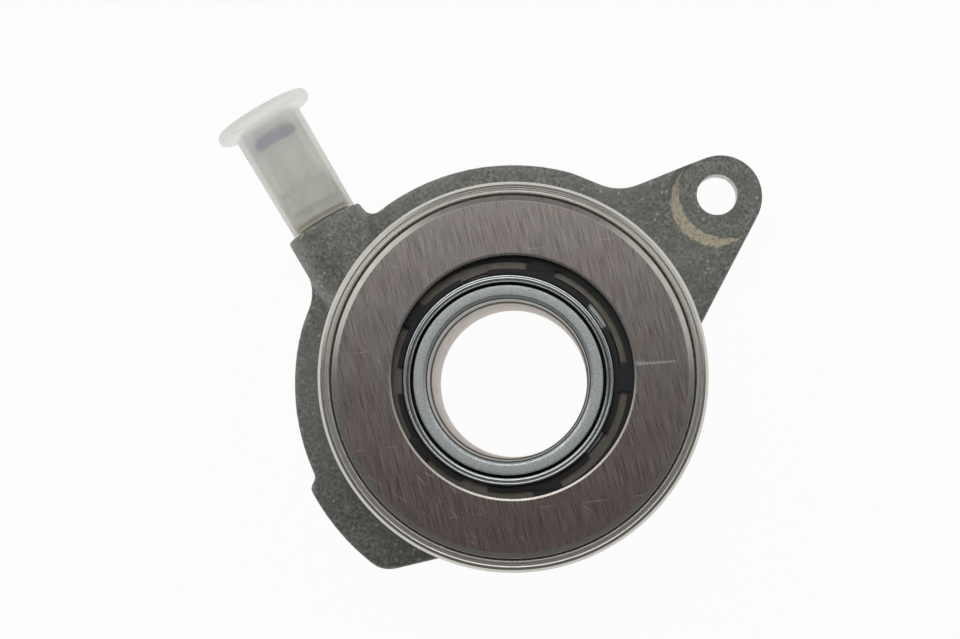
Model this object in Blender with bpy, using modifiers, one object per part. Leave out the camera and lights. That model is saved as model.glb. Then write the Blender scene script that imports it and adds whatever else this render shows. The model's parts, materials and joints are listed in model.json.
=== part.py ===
"""Concentric slave cylinder: the ring-shaped hydraulic release unit of a clutch.

Metres, +Z along the gearbox input shaft towards the clutch. The housing's mounting face is z = 0.
The shaft axis is modelled at the shaft_axis empty, and the root empty then moves the whole unit so
that the world's origin is the middle of its footprint. The piston stands at its upper stop, where
its spring leaves it on a loose unit, and the bearing lies a little off centre in its float.
"""

import math

import bmesh
import bpy
from mathutils import Vector

GAP = 0.0003

# Guide sleeve: a thin steel tube with a turned-out foot and lip
SLEEVE_BORE_R = 0.0149
SLEEVE_WALL = 0.00085
SLEEVE_LIP_REACH = 0.00195
SLEEVE_LIP_SHEET = 0.0009
SLEEVE_MOUTH_STEP = 0.0003
SLEEVE_MOUTH_DEPTH = 0.0100
SLEEVE_MOUTH_ROUND = 0.0008
SLEEVE_FOOT_REACH = 0.00455
SLEEVE_FOOT_SHEET = 0.0010
SLEEVE_FOOT_BED = 0.0016

# Housing casting
FLANGE_R = 0.0440
FLANGE_THICKNESS = 0.0104
FLANGE_EDGE_ROUND = 0.0007
BODY_MARGIN = 0.0019
LOBE_STEP = 0.0020
LOBE_START_ANGLE = math.radians(205.5)
LOBE_STEP_ANGLE = math.radians(2.0)
LOBE_END_ANGLE = math.radians(232.0)
LOBE_CORNER_R = 0.0056
LOBE_STEP_ROUND = 0.0009
CHAMBER_FLOOR_Z = 0.0052
CYLINDER_WALL = 0.0022
CYLINDER_EDGE = 0.0004
SPRING_RIB_WALL = 0.0008
SPRING_RIB_HEIGHT = 0.0012

# Bolt ear
BOLT_REACH = 0.0120
BOLT_ANGLE = math.radians(42.7)
BOLT_HOLE_R = 0.0041
EAR_R = 0.0084
EAR_SHIFT = Vector((0.00066, -0.00045))
EAR_RIGHT_ROOT_ANGLE = math.radians(-6.44)
EAR_UPPER_ROOT_ANGLE = math.radians(60.9)
EAR_UPPER_FILLET = 0.0100
EAR_RIGHT_FILLET = 0.0040
EAR_SEAT_Z = 0.0086
EAR_SEAT_WALL_RUN = 0.0020

# Inlet port, on an axis beside the shaft axis and level with the mounting face
PORT_ANGLE = math.radians(120.6)
PORT_OFFSET = 0.0160
PORT_Z = 0.0120
PORT_FACE_REACH = 0.0030
PORT_BOSS_R = 0.0079
PORT_BOSS_ROOT = 0.0260
PORT_FOOT_SETBACK = 0.0004
PORT_RIGHT_FILLET = 0.0022
PORT_LEFT_FILLET = 0.0080
PORT_BORE_R = 0.0045
PORT_BORE_DEPTH = 0.0130
DRILLING_R = 0.0011
DRILLING_START_DROP = 0.0030
DRILLING_END_DROP = 0.0052
DRILLING_END = 0.0130

# Piston and its travel
STROKE = 0.0120
FLOOR_CLEARANCE = 0.0033
SEAL_HEIGHT = 0.0042
SEAL_LIP = 0.0010
SEAL_GROOVE_DEPTH = 0.0026
SUPPORT_RING_HEIGHT = 0.0012
PISTON_GUIDED_LENGTH = 0.0028
PISTON_HEAD_HEIGHT = 0.0060
PISTON_RELIEF = 0.0012
PISTON_SHOULDER = 0.0025
NECK_WALL = 0.00135
NECK_GROOVE_DEPTH = 0.0006
NECK_RIM = 0.0008

# Preload spring, its cup and the dust boot
SPRING_WIRE_R = 0.0011
SPRING_TURNS = 4.5
SPRING_COIL_POINTS = 12
SPRING_WALL_CLEARANCE = 0.0022
CUP_SHEET = 0.0009
CUP_CLEARANCE = 0.0004
CUP_RIM_MARGIN = 0.0013
CUP_BEARING_CLEARANCE = 0.0007
BOOT_SHEET = 0.0008
BOOT_FOLDS = 4
BOOT_FOLD_DEPTH = 0.0034
BOOT_BEAD = 0.0015
BOOT_CLEARANCE = 0.0008

# Bearing
FLOAT_REACH = 0.00092
FLOAT_AT_REST = Vector((0.00085, 0.00060))
WAVE_SHEET = 0.0004
WAVE_RISE = 0.0004
WAVE_COUNT = 4
BALL_R = 0.002975
BALL_COUNT = 16
BALL_DROP = 0.0027
INNER_RING_SHEET = 0.0015
INNER_RING_BEND = 0.0010
INNER_FLANGE_MARGIN = 0.0006
INNER_RACE_END = 285.0
OUTER_RACE_START = -25.0
OUTER_RACE_END = 95.0
FACE_SLOT_MARGIN = 0.0003
FACE_LEDGE = 0.0025
FACE_THICKNESS = 0.0026
FACE_CHAMFER = 0.0004
FACE_STEP = 0.0017
OUTER_RING_SKIRT = 0.0028
OUTER_RING_WALL = 0.00245
SHELL_SHEET = 0.0006
SHELL_BEND = 0.0010
SHELL_LIP_REACH = 0.00135
SHELL_FOOT_REACH = 0.0030
BEARING_SEAL_SHEET = 0.0007
CAGE_SHEET = 0.0012
CAGE_RIM = 0.0043
CAGE_PRONG = 0.0010
CAGE_TILT = math.radians(120.0)

# Slotted centring ring and the zinc retaining ring that holds it
CENTRING_THICKNESS = 0.0011
SLOT_COUNT = 5
CENTRING_INNER_BAND = 0.00185
SLOT_WIDTH = 0.0015
CENTRING_OUTER_BAND = 0.0018
SLOT_ANGLE = math.radians(61.5)
SLOT_FIRST_ANGLE = math.radians(36.0)
SLOT_MOUTH_ANGLE = math.radians(14.2)
RETAINER_SHEET = 0.0005
RETAINER_CLEARANCE = 0.00055
RETAINER_WIDTH = 0.0016
RETAINER_HEIGHT = 0.00135

# Inlet fitting, its seals and the transport cap, measured along the port axis
FITTING_BORE_R = 0.0016
FITTING_STEM_R = 0.0042
FITTING_STEM_CLEARANCE = 0.0010
FITTING_FLANGE_R = 0.0057
FITTING_FLANGE_HEIGHT = 0.0013
FITTING_NECK_R = 0.0047
FITTING_NECK_HEIGHT = 0.0010
FITTING_COLLAR_HEIGHT = 0.0034
FITTING_BAND_R = 0.0049
FITTING_BAND_HEIGHT = 0.0014
FITTING_SPIGOT_R = 0.0046
FITTING_SPIGOT_LENGTH = 0.0100
FITTING_TIP_HEIGHT = 0.0018
FITTING_TIP_CHAMFER = 0.0005
PORT_WASHER_THICKNESS = 0.0008
O_RING_SECTION_R = 0.0009
O_RING_GROOVE_R = 0.0031
O_RING_GROOVE_HEIGHT = 0.0025
CAP_CLEARANCE = 0.00035
CAP_WALL = 0.0008
CAP_DISC_R = 0.00935
CAP_DISC_THICKNESS = 0.0030
CAP_DISC_ROUND = 0.0010
CAP_DISH_R = 0.0074
CAP_DISH_DEPTH = 0.0007
CAP_END_CLEARANCE = 0.0027
CAP_MOUTH_CLEARANCE = 0.0003
CAP_FLOOR = 0.0012

FOOT_SEAL_SECTION_R = 0.0009
FOOT_SEAL_BED_HEIGHT = 0.0022

WIDE_STEPS = 32
NARROW_STEPS = 24
PORT_STEPS = 20
BALL_STEPS = 8
BALL_RINGS = 5
ARC_STEP = math.radians(10.0)
CUT_MARGIN = 0.0020
MERGE = 0.000001

# Radial chain, outwards from the shaft
sleeve_r = SLEEVE_BORE_R + SLEEVE_WALL
mouth_bore_r = SLEEVE_BORE_R + SLEEVE_MOUTH_STEP
mouth_r = mouth_bore_r + SLEEVE_WALL
sleeve_lip_r = mouth_r + SLEEVE_LIP_REACH
sleeve_foot_r = sleeve_r + SLEEVE_FOOT_REACH
sleeve_hole_r = sleeve_r + GAP
piston_bore_r = sleeve_r + GAP
neck_bore_r = mouth_r + GAP
neck_r = neck_bore_r + NECK_WALL
neck_groove_r = neck_r - NECK_GROOVE_DEPTH
piston_r = neck_r + PISTON_SHOULDER
chamber_r = piston_r + GAP
cylinder_r = chamber_r + CYLINDER_WALL
cup_bore_r = cylinder_r + CUP_CLEARANCE
cup_r = cup_bore_r + CUP_SHEET
spring_mean_r = cylinder_r + SPRING_WALL_CLEARANCE + SPRING_WIRE_R
spring_rib_r = spring_mean_r + SPRING_WIRE_R + GAP
body_r = spring_rib_r + SPRING_RIB_WALL + BODY_MARGIN
cup_rim_r = spring_mean_r + SPRING_WIRE_R + CUP_RIM_MARGIN
boot_valley_r = cup_rim_r + BOOT_SHEET
boot_crest_r = boot_valley_r + BOOT_FOLD_DEPTH
boss_clear_r = boot_crest_r + BOOT_CLEARANCE
lobe_r = FLANGE_R + LOBE_STEP
float_r = FLOAT_REACH * math.sqrt(2.0)
inner_ring_bore_r = cup_r + float_r + GAP
inner_ring_r = inner_ring_bore_r + INNER_RING_SHEET
inner_flange_bore_r = neck_r + float_r + GAP + INNER_FLANGE_MARGIN
wave_rim_r = inner_ring_bore_r - FLOAT_REACH - GAP
race_r = BALL_R + GAP
ball_circle_r = inner_ring_r + race_r
outer_ring_r = ball_circle_r + race_r + OUTER_RING_WALL
face_outer_r = outer_ring_r - FACE_LEDGE
shell_bore_r = outer_ring_r + GAP
bearing_r = shell_bore_r + SHELL_SHEET
shell_lip_r = outer_ring_r - SHELL_LIP_REACH
shell_foot_r = shell_bore_r - SHELL_FOOT_REACH
retainer_bore_r = sleeve_lip_r + RETAINER_CLEARANCE
retainer_rim_r = retainer_bore_r + RETAINER_WIDTH
centring_bore_r = retainer_bore_r + RETAINER_SHEET + GAP
slot_inner_r = centring_bore_r + CENTRING_INNER_BAND
slot_outer_r = slot_inner_r + SLOT_WIDTH
centring_rim_r = slot_outer_r + CENTRING_OUTER_BAND
face_inner_r = slot_outer_r + FACE_SLOT_MARGIN

# Height chain, upwards from the chamber floor, with the piston at its upper stop
seal_z = CHAMBER_FLOOR_Z + FLOOR_CLEARANCE + STROKE
support_ring_z = seal_z + SEAL_HEIGHT + GAP
piston_z = support_ring_z + SUPPORT_RING_HEIGHT + GAP
cylinder_top_z = piston_z + PISTON_GUIDED_LENGTH
shoulder_z = cylinder_top_z + STROKE + GAP
cup_top_z = shoulder_z + GAP + CUP_SHEET
wave_z = cup_top_z + GAP
inner_flange_z = wave_z + WAVE_SHEET + WAVE_RISE + GAP
inner_flange_top_z = inner_flange_z + INNER_RING_SHEET
centring_z = inner_flange_top_z + GAP
centring_top_z = centring_z + CENTRING_THICKNESS
outer_flange_z = centring_top_z + GAP
face_z = outer_flange_z + FACE_THICKNESS
retainer_z = inner_flange_top_z + GAP
neck_groove_top_z = retainer_z + RETAINER_SHEET + GAP
neck_top_z = neck_groove_top_z + NECK_RIM
sleeve_top_z = neck_top_z + GAP + SLEEVE_LIP_SHEET
ball_z = inner_flange_top_z - BALL_DROP
bearing_foot_z = ball_z - race_r - INNER_RING_SHEET
cup_flange_top_z = bearing_foot_z - CUP_BEARING_CLEARANCE
cup_flange_z = cup_flange_top_z - CUP_SHEET
step_z = face_z - FACE_STEP
shell_top_z = step_z + GAP + SHELL_SHEET
outer_skirt_z = ball_z - OUTER_RING_SKIRT
bearing_seal_z = outer_skirt_z - GAP - BEARING_SEAL_SHEET
shell_foot_z = bearing_seal_z - GAP - SHELL_SHEET

# Length chain along the port axis
port_face = FLANGE_R + PORT_FACE_REACH
port_washer_top = port_face + GAP + PORT_WASHER_THICKNESS
fitting_flange = port_washer_top + GAP
fitting_neck = fitting_flange + FITTING_FLANGE_HEIGHT
fitting_collar = fitting_neck + FITTING_NECK_HEIGHT
fitting_band = fitting_collar + FITTING_COLLAR_HEIGHT
fitting_spigot = fitting_band + FITTING_BAND_HEIGHT
fitting_groove = fitting_spigot + FITTING_SPIGOT_LENGTH
fitting_lip = fitting_groove + O_RING_GROOVE_HEIGHT
fitting_tip = fitting_lip + FITTING_TIP_HEIGHT
cap_mouth = port_face + CAP_MOUTH_CLEARANCE
cap_bore_r = FITTING_FLANGE_R + CAP_CLEARANCE
cap_floor = fitting_tip + CAP_END_CLEARANCE
cap_end = cap_floor + CAP_FLOOR + CAP_DISH_DEPTH

bolt_distance = FLANGE_R + BOLT_REACH
bolt_place = Vector((math.cos(BOLT_ANGLE), math.sin(BOLT_ANGLE))) * bolt_distance
ear_place = bolt_place + EAR_SHIFT


def clear_scene():
    """Start from an empty scene."""
    for item in list(bpy.data.objects):
        bpy.data.objects.remove(item, do_unlink=True)


def collection(name):
    made = bpy.data.collections.new(name)
    bpy.context.scene.collection.children.link(made)
    return made


def empty(name, parent=None, location=(0.0, 0.0, 0.0), rotation=(0.0, 0.0, 0.0)):
    made = bpy.data.objects.new(name, None)
    made.empty_display_size = 0.01
    made.parent = parent
    made.location = location
    made.rotation_euler = rotation
    PIECES.objects.link(made)
    return made


def finish(name, colour, roughness, metallic=0.0, alpha=1.0):
    """A Principled material for one piece."""
    material = bpy.data.materials.new(name)
    material.use_nodes = True
    shader = material.node_tree.nodes["Principled BSDF"]
    shader.inputs["Base Color"].default_value = (*colour, 1.0)
    shader.inputs["Roughness"].default_value = roughness
    shader.inputs["Metallic"].default_value = metallic
    shader.inputs["Alpha"].default_value = alpha
    material.diffuse_color = (*colour, alpha)
    return material


def place(name, mesh, parent, look=None, location=(0.0, 0.0, 0.0)):
    """Put a mesh in the scene: a piece when it has a look, a cutter when it has none."""
    made = bpy.data.objects.new(name, mesh)
    made.parent = parent
    made.location = location
    if look is None:
        made.hide_render = True
        made.display_type = "WIRE"
        CUTTERS.objects.link(made)
    else:
        mesh.materials.clear()
        mesh.materials.append(finish(name, *look))
        PIECES.objects.link(made)
    return made


def arc(centre_r, centre_z, radius, start, end, count):
    """Points of a round stretch in a profile, angles in degrees."""
    angles = [math.radians(start + (end - start) * i / count) for i in range(count + 1)]
    return [(centre_r + radius * math.cos(a), centre_z + radius * math.sin(a)) for a in angles]


def profile_mesh(name, points, closed=True):
    """A line of (radius, height) points in the XZ plane, for a Screw modifier to turn."""
    mesh = bpy.data.meshes.new(name)
    edges = [(i, i + 1) for i in range(len(points) - 1)]
    if closed:
        edges.append((len(points) - 1, 0))
    mesh.from_pydata([(radius, 0.0, height) for radius, height in points], edges, [])
    return mesh


def turned(name, points, parent, look=None, steps=NARROW_STEPS, closed=True):
    """A turned piece. Its profile runs down the outer side, so that its faces point out."""
    made = place(name, profile_mesh(name, points, closed), parent, look)
    turn = made.modifiers.new("Turn", "SCREW")
    turn.axis = "Z"
    turn.steps = steps
    turn.render_steps = steps
    turn.use_merge_vertices = True
    turn.merge_threshold = MERGE
    turn.use_smooth_shade = True
    return made


def rod(name, radius, low, high, parent, steps=PORT_STEPS, top_radius=None):
    """A cylinder or cone along its parent's Z, mostly a cutter."""
    shape = bmesh.new()
    bmesh.ops.create_cone(
        shape,
        cap_ends=True,
        segments=steps,
        radius1=radius,
        radius2=radius if top_radius is None else top_radius,
        depth=high - low,
    )
    bmesh.ops.translate(shape, vec=(0.0, 0.0, (low + high) / 2), verts=shape.verts)
    mesh = bpy.data.meshes.new(name)
    shape.to_mesh(mesh)
    shape.free()
    return place(name, mesh, parent)


def combine(piece, other, operation, solver="EXACT"):
    """A Boolean step on a piece."""
    step = piece.modifiers.new(other.name, "BOOLEAN")
    step.operation = operation
    step.solver = solver
    step.object = other


def evaluated_mesh(source):
    """The finished mesh of an object, with doubled points welded."""
    bpy.context.view_layer.update()
    graph = bpy.context.evaluated_depsgraph_get()
    mesh = bpy.data.meshes.new_from_object(source.evaluated_get(graph))
    shape = bmesh.new()
    shape.from_mesh(mesh)
    bmesh.ops.remove_doubles(shape, verts=shape.verts, dist=MERGE)
    shape.to_mesh(mesh)
    shape.free()
    return mesh


def plate(name, outlines, low, high, parent, look=None):
    """A flat piece from closed outlines, the first one its edge and the others its holes."""
    curve = bpy.data.curves.new(name, "CURVE")
    curve.dimensions = "2D"
    curve.fill_mode = "BOTH"
    curve.extrude = (high - low) / 2
    for outline in outlines:
        spline = curve.splines.new("POLY")
        spline.points.add(len(outline) - 1)
        for point, (x, y) in zip(spline.points, outline):
            point.co = (x, y, 0.0, 1.0)
        spline.use_cyclic_u = True
    drawn = bpy.data.objects.new(name + "_outline", curve)
    CUTTERS.objects.link(drawn)
    mesh = evaluated_mesh(drawn)
    bpy.data.objects.remove(drawn)
    return place(name, mesh, parent, look, (0.0, 0.0, (low + high) / 2))


def on_circle(radius, angle, centre=Vector((0.0, 0.0))):
    return centre + Vector((math.cos(angle), math.sin(angle))) * radius


def round_stretch(radius, start, end, centre=Vector((0.0, 0.0))):
    """Points along part of a circle in an outline, from start to end either way round."""
    count = max(2, math.ceil(abs(end - start) / ARC_STEP))
    return [on_circle(radius, start + (end - start) * i / count, centre) for i in range(count + 1)]


def fillet(before, corner, after, radius):
    """Points that round one corner of an outline."""
    to_before = (before - corner).normalized()
    to_after = (after - corner).normalized()
    half = to_before.angle(to_after) / 2
    centre = corner + (to_before + to_after).normalized() * (radius / math.sin(half))
    first = corner + to_before * (radius / math.tan(half)) - centre
    last = corner + to_after * (radius / math.tan(half)) - centre
    start = math.atan2(first.y, first.x)
    sweep = math.atan2(first.x * last.y - first.y * last.x, first.dot(last))
    return round_stretch(radius, start, start + sweep, centre)


def rounded_outline(parts):
    """Join stretches of points, rounding each corner that is given as (corner, radius)."""
    points = []
    for i, part in enumerate(parts):
        if isinstance(part, list):
            points.extend(part)
            continue
        corner, radius = part
        before = parts[i - 1]
        after = parts[(i + 1) % len(parts)]
        before = before[-1] if isinstance(before, list) else before[0]
        after = after[0] if isinstance(after, list) else after[0]
        points.extend(fillet(before, corner, after, radius))
    return points


def touch_angle(corner, side):
    """The angle on the ear's round where a straight side from its root corner touches it."""
    away = corner - ear_place
    return math.atan2(away.y, away.x) + side * math.acos(EAR_R / away.length)


def ear_stretches():
    """The ear's round end and the two corners where its sides meet the body and the flange."""
    right_corner = on_circle(body_r, EAR_RIGHT_ROOT_ANGLE)
    upper_corner = on_circle(FLANGE_R, EAR_UPPER_ROOT_ANGLE)
    right = touch_angle(right_corner, 1.0)
    upper = touch_angle(upper_corner, -1.0) % math.tau
    return right_corner, round_stretch(EAR_R, right, upper, ear_place), upper_corner


def port_corners():
    """Where the sides of the inlet boss leave the flange, and its two outer corners."""
    along = on_circle(1.0, PORT_ANGLE)
    aside = on_circle(1.0, PORT_ANGLE + math.pi / 2)
    corners = []
    for side in (-PORT_BOSS_R, PORT_BOSS_R):
        offset = PORT_OFFSET + side
        root = aside * offset + along * math.sqrt(FLANGE_R ** 2 - offset ** 2)
        corners.append((root, aside * offset + along * (port_face - PORT_FOOT_SETBACK)))
    return corners


def angle_of(point):
    return math.atan2(point.y, point.x) % math.tau


def flange_outline():
    """Outline of the housing's base: body, ear, flange, inlet boss and lobe."""
    right_corner, ear_round, upper_corner = ear_stretches()
    (port_right, port_right_end), (port_left, port_left_end) = port_corners()
    upper_margin = EAR_UPPER_FILLET / FLANGE_R
    right_margin = 2 * PORT_RIGHT_FILLET / FLANGE_R
    left_margin = PORT_LEFT_FILLET / FLANGE_R
    step_margin = 2 * LOBE_STEP_ROUND / FLANGE_R
    lobe_step_end = LOBE_START_ANGLE + LOBE_STEP_ANGLE
    corner_centre = on_circle(lobe_r - LOBE_CORNER_R, LOBE_END_ANGLE)
    lean = math.asin((body_r - LOBE_CORNER_R) / corner_centre.length)
    tangent = LOBE_END_ANGLE + math.pi / 2 - lean
    body_end = angle_of(right_corner)
    body_margin = EAR_RIGHT_FILLET / body_r
    return rounded_outline([
        round_stretch(body_r, tangent, body_end - body_margin),
        (right_corner, EAR_RIGHT_FILLET),
        ear_round,
        (upper_corner, EAR_UPPER_FILLET),
        round_stretch(FLANGE_R, angle_of(upper_corner) + upper_margin, angle_of(port_right) - right_margin),
        (port_right, PORT_RIGHT_FILLET),
        [port_right_end, port_left_end],
        (port_left, PORT_LEFT_FILLET),
        round_stretch(FLANGE_R, angle_of(port_left) + left_margin, LOBE_START_ANGLE - step_margin),
        (on_circle(FLANGE_R, LOBE_START_ANGLE), LOBE_STEP_ROUND),
        (on_circle(lobe_r, lobe_step_end), LOBE_STEP_ROUND),
        round_stretch(lobe_r, lobe_step_end + step_margin, LOBE_END_ANGLE),
        round_stretch(LOBE_CORNER_R, LOBE_END_ANGLE, tangent, corner_centre),
    ])


def build_housing(shaft, port, ear, look):
    """The die-cast housing: flange, cylinder, inlet boss and all its bores."""
    housing = plate("housing", [flange_outline()], 0.0, FLANGE_THICKNESS, shaft, look)
    edge = housing.modifiers.new("Edges", "BEVEL")
    edge.width = FLANGE_EDGE_ROUND
    edge.segments = 1
    edge.limit_method = "ANGLE"
    edge.angle_limit = math.radians(60.0)
    edge.use_clamp_overlap = False

    cylinder = turned("cylinder_wall", [
        (SLEEVE_BORE_R, cylinder_top_z),
        (cylinder_r - CYLINDER_EDGE, cylinder_top_z),
        (cylinder_r, cylinder_top_z - CYLINDER_EDGE),
        (cylinder_r, SLEEVE_FOOT_BED),
        (SLEEVE_BORE_R, SLEEVE_FOOT_BED),
    ], shaft, steps=WIDE_STEPS)
    rib = turned("spring_rib", [
        (spring_rib_r, FLANGE_THICKNESS + SPRING_RIB_HEIGHT),
        (spring_rib_r + SPRING_RIB_WALL, FLANGE_THICKNESS + SPRING_RIB_HEIGHT),
        (spring_rib_r + SPRING_RIB_WALL, FLANGE_THICKNESS / 2),
        (spring_rib_r, FLANGE_THICKNESS / 2),
    ], shaft, steps=WIDE_STEPS)
    boss = rod("inlet_boss", PORT_BOSS_R, PORT_BOSS_ROOT, port_face, port)
    boss_clearance = rod(
        "boss_clearance", boss_clear_r, FLANGE_THICKNESS - CUT_MARGIN / 2, cylinder_top_z, shaft, WIDE_STEPS
    )
    combine(boss, boss_clearance, "DIFFERENCE")

    bore = turned("housing_bore", [
        (0.0, cylinder_top_z + CUT_MARGIN),
        (chamber_r, cylinder_top_z + CUT_MARGIN),
        (chamber_r, CHAMBER_FLOOR_Z),
        (sleeve_hole_r, CHAMBER_FLOOR_Z),
        (sleeve_hole_r, SLEEVE_FOOT_BED + FOOT_SEAL_BED_HEIGHT),
        (sleeve_hole_r + 2 * FOOT_SEAL_SECTION_R + GAP, SLEEVE_FOOT_BED + FOOT_SEAL_BED_HEIGHT),
        (sleeve_hole_r + 2 * FOOT_SEAL_SECTION_R + GAP, SLEEVE_FOOT_BED),
        (sleeve_foot_r + GAP, SLEEVE_FOOT_BED),
        (sleeve_foot_r + GAP, -CUT_MARGIN),
        (0.0, -CUT_MARGIN),
    ], shaft, steps=WIDE_STEPS, closed=False)
    port_bore = rod("port_bore", PORT_BORE_R, port_face - PORT_BORE_DEPTH, port_face + CUT_MARGIN, port)
    drilling = drilling_cutter(port)
    bolt_hole = rod("bolt_hole", BOLT_HOLE_R, -CUT_MARGIN, FLANGE_THICKNESS + CUT_MARGIN, ear)
    rise = FLANGE_THICKNESS + CUT_MARGIN - EAR_SEAT_Z
    run = EAR_SEAT_WALL_RUN * rise / (FLANGE_THICKNESS - EAR_SEAT_Z)
    seat = rod(
        "bolt_seat", EAR_R + GAP, EAR_SEAT_Z, FLANGE_THICKNESS + CUT_MARGIN, ear, WIDE_STEPS, EAR_R + GAP + run
    )
    seat.location = (EAR_SHIFT.x, EAR_SHIFT.y, 0.0)

    # The exact solver loses this casting at its later cuts, so all its steps use the other one
    for addition in (cylinder, rib, boss):
        combine(housing, addition, "UNION", "MANIFOLD")
    for cut in (bore, port_bore, drilling, bolt_hole, seat):
        combine(housing, cut, "DIFFERENCE", "MANIFOLD")
    return housing


def drilling_cutter(port):
    """The slanted drilling from the bottom of the port bore down into the ring chamber."""
    start = port_face - PORT_BORE_DEPTH + CUT_MARGIN
    slope = (DRILLING_END_DROP - DRILLING_START_DROP) / (start - DRILLING_END)
    cut = rod("drilling", DRILLING_R, DRILLING_END - start, 0.0, port, NARROW_STEPS // 2)
    cut.location = (DRILLING_START_DROP, 0.0, start)
    cut.rotation_euler = (0.0, -math.atan(slope), 0.0)
    return cut


def build_sleeve(shaft, look):
    """The guide sleeve, which the piston slides on."""
    foot_z = SLEEVE_FOOT_BED - GAP - SLEEVE_FOOT_SHEET
    step_z_low = sleeve_top_z - SLEEVE_MOUTH_DEPTH
    lip_z = sleeve_top_z - SLEEVE_LIP_SHEET
    mouth = arc(
        mouth_bore_r + SLEEVE_MOUTH_ROUND, sleeve_top_z - SLEEVE_MOUTH_ROUND, SLEEVE_MOUTH_ROUND, 180.0, 90.0, 3
    )
    return turned("guide_sleeve", [
        *mouth,
        (sleeve_lip_r, sleeve_top_z),
        (sleeve_lip_r, lip_z),
        (mouth_r, lip_z),
        (mouth_r, step_z_low),
        (sleeve_r, step_z_low - SLEEVE_MOUTH_STEP),
        (sleeve_r, foot_z + SLEEVE_FOOT_SHEET),
        (sleeve_foot_r, foot_z + SLEEVE_FOOT_SHEET),
        (sleeve_foot_r, foot_z),
        (SLEEVE_BORE_R, foot_z),
        (SLEEVE_BORE_R, step_z_low - SLEEVE_MOUTH_STEP),
        (mouth_bore_r, step_z_low),
    ], shaft, look, WIDE_STEPS)


def o_ring(name, mean_r, height, section_r, parent, look, steps=NARROW_STEPS):
    """A round-section rubber ring."""
    section = arc(mean_r, height, section_r, 150.0, -150.0, 5)
    return turned(name, section, parent, look, steps)


def build_piston_group(shaft, looks):
    """Piston, lip seal and support ring."""
    head_top = piston_z + PISTON_HEAD_HEIGHT
    groove_z = retainer_z - GAP
    turned("piston", [
        (neck_bore_r, neck_top_z),
        (neck_r, neck_top_z),
        (neck_r, neck_groove_top_z),
        (neck_groove_r, neck_groove_top_z),
        (neck_groove_r, groove_z),
        (neck_r, groove_z),
        (neck_r, shoulder_z),
        (piston_r, shoulder_z),
        (piston_r, piston_z),
        (piston_bore_r, piston_z),
        (piston_bore_r, head_top),
        (piston_bore_r + PISTON_RELIEF, head_top + PISTON_RELIEF),
        (piston_bore_r + PISTON_RELIEF, shoulder_z - 2 * PISTON_RELIEF),
        (neck_bore_r, shoulder_z - PISTON_RELIEF),
    ], shaft, looks["piston"])

    seal_top = seal_z + SEAL_HEIGHT
    groove_top = seal_z + SEAL_GROOVE_DEPTH
    turned("piston_seal", [
        (piston_bore_r + GAP, seal_top),
        (piston_r - GAP, seal_top),
        (piston_r - GAP, groove_top),
        (piston_r, seal_z),
        (piston_r - SEAL_LIP, seal_z),
        (piston_r - SEAL_LIP - GAP, groove_top),
        (piston_bore_r + SEAL_LIP + GAP, groove_top),
        (piston_bore_r + SEAL_LIP, seal_z),
        (piston_bore_r, seal_z),
        (piston_bore_r + GAP, groove_top),
    ], shaft, looks["rubber"])

    turned("seal_support_ring", [
        (piston_bore_r, support_ring_z + SUPPORT_RING_HEIGHT),
        (piston_r, support_ring_z + SUPPORT_RING_HEIGHT),
        (piston_r, support_ring_z),
        (piston_bore_r, support_ring_z),
    ], shaft, looks["white_plastic"])


def build_spring_group(shaft, looks):
    """Spring cup, coil spring and dust boot."""
    turned("spring_cup", [
        (neck_r + GAP, cup_top_z),
        (cup_r, cup_top_z),
        (cup_r, cup_flange_top_z),
        (cup_rim_r, cup_flange_top_z),
        (cup_rim_r, cup_flange_z),
        (cup_bore_r, cup_flange_z),
        (cup_bore_r, cup_top_z - CUP_SHEET),
        (neck_r + GAP, cup_top_z - CUP_SHEET),
    ], shaft, looks["zinc"], WIDE_STEPS)
    build_spring(shaft, looks["spring"])
    build_boot(shaft, looks["rubber"])


def build_spring(shaft, look):
    """The preload spring, with a closed coil at each end."""
    low = FLANGE_THICKNESS + GAP + SPRING_WIRE_R
    high = cup_flange_z - GAP - SPRING_WIRE_R
    closed_rise = 2 * SPRING_WIRE_R + GAP
    active_turns = SPRING_TURNS - 2
    climb = high - low - 2 * closed_rise
    curve = bpy.data.curves.new("preload_spring", "CURVE")
    curve.dimensions = "3D"
    curve.bevel_depth = SPRING_WIRE_R
    curve.bevel_resolution = 1
    curve.use_fill_caps = True
    count = int(SPRING_TURNS * SPRING_COIL_POINTS)
    spline = curve.splines.new("POLY")
    spline.points.add(count)
    for i, point in enumerate(spline.points):
        turn = i / SPRING_COIL_POINTS
        lower = min(turn, 1.0) * closed_rise
        middle = min(max(turn - 1.0, 0.0), active_turns) / active_turns * climb
        upper = max(turn - 1.0 - active_turns, 0.0) * closed_rise
        angle = turn * math.tau
        x, y = on_circle(spring_mean_r, angle)
        point.co = (x, y, low + lower + middle + upper, 1.0)
    made = bpy.data.objects.new("preload_spring", curve)
    made.parent = shaft
    curve.materials.append(finish("preload_spring", *look))
    PIECES.objects.link(made)


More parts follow.
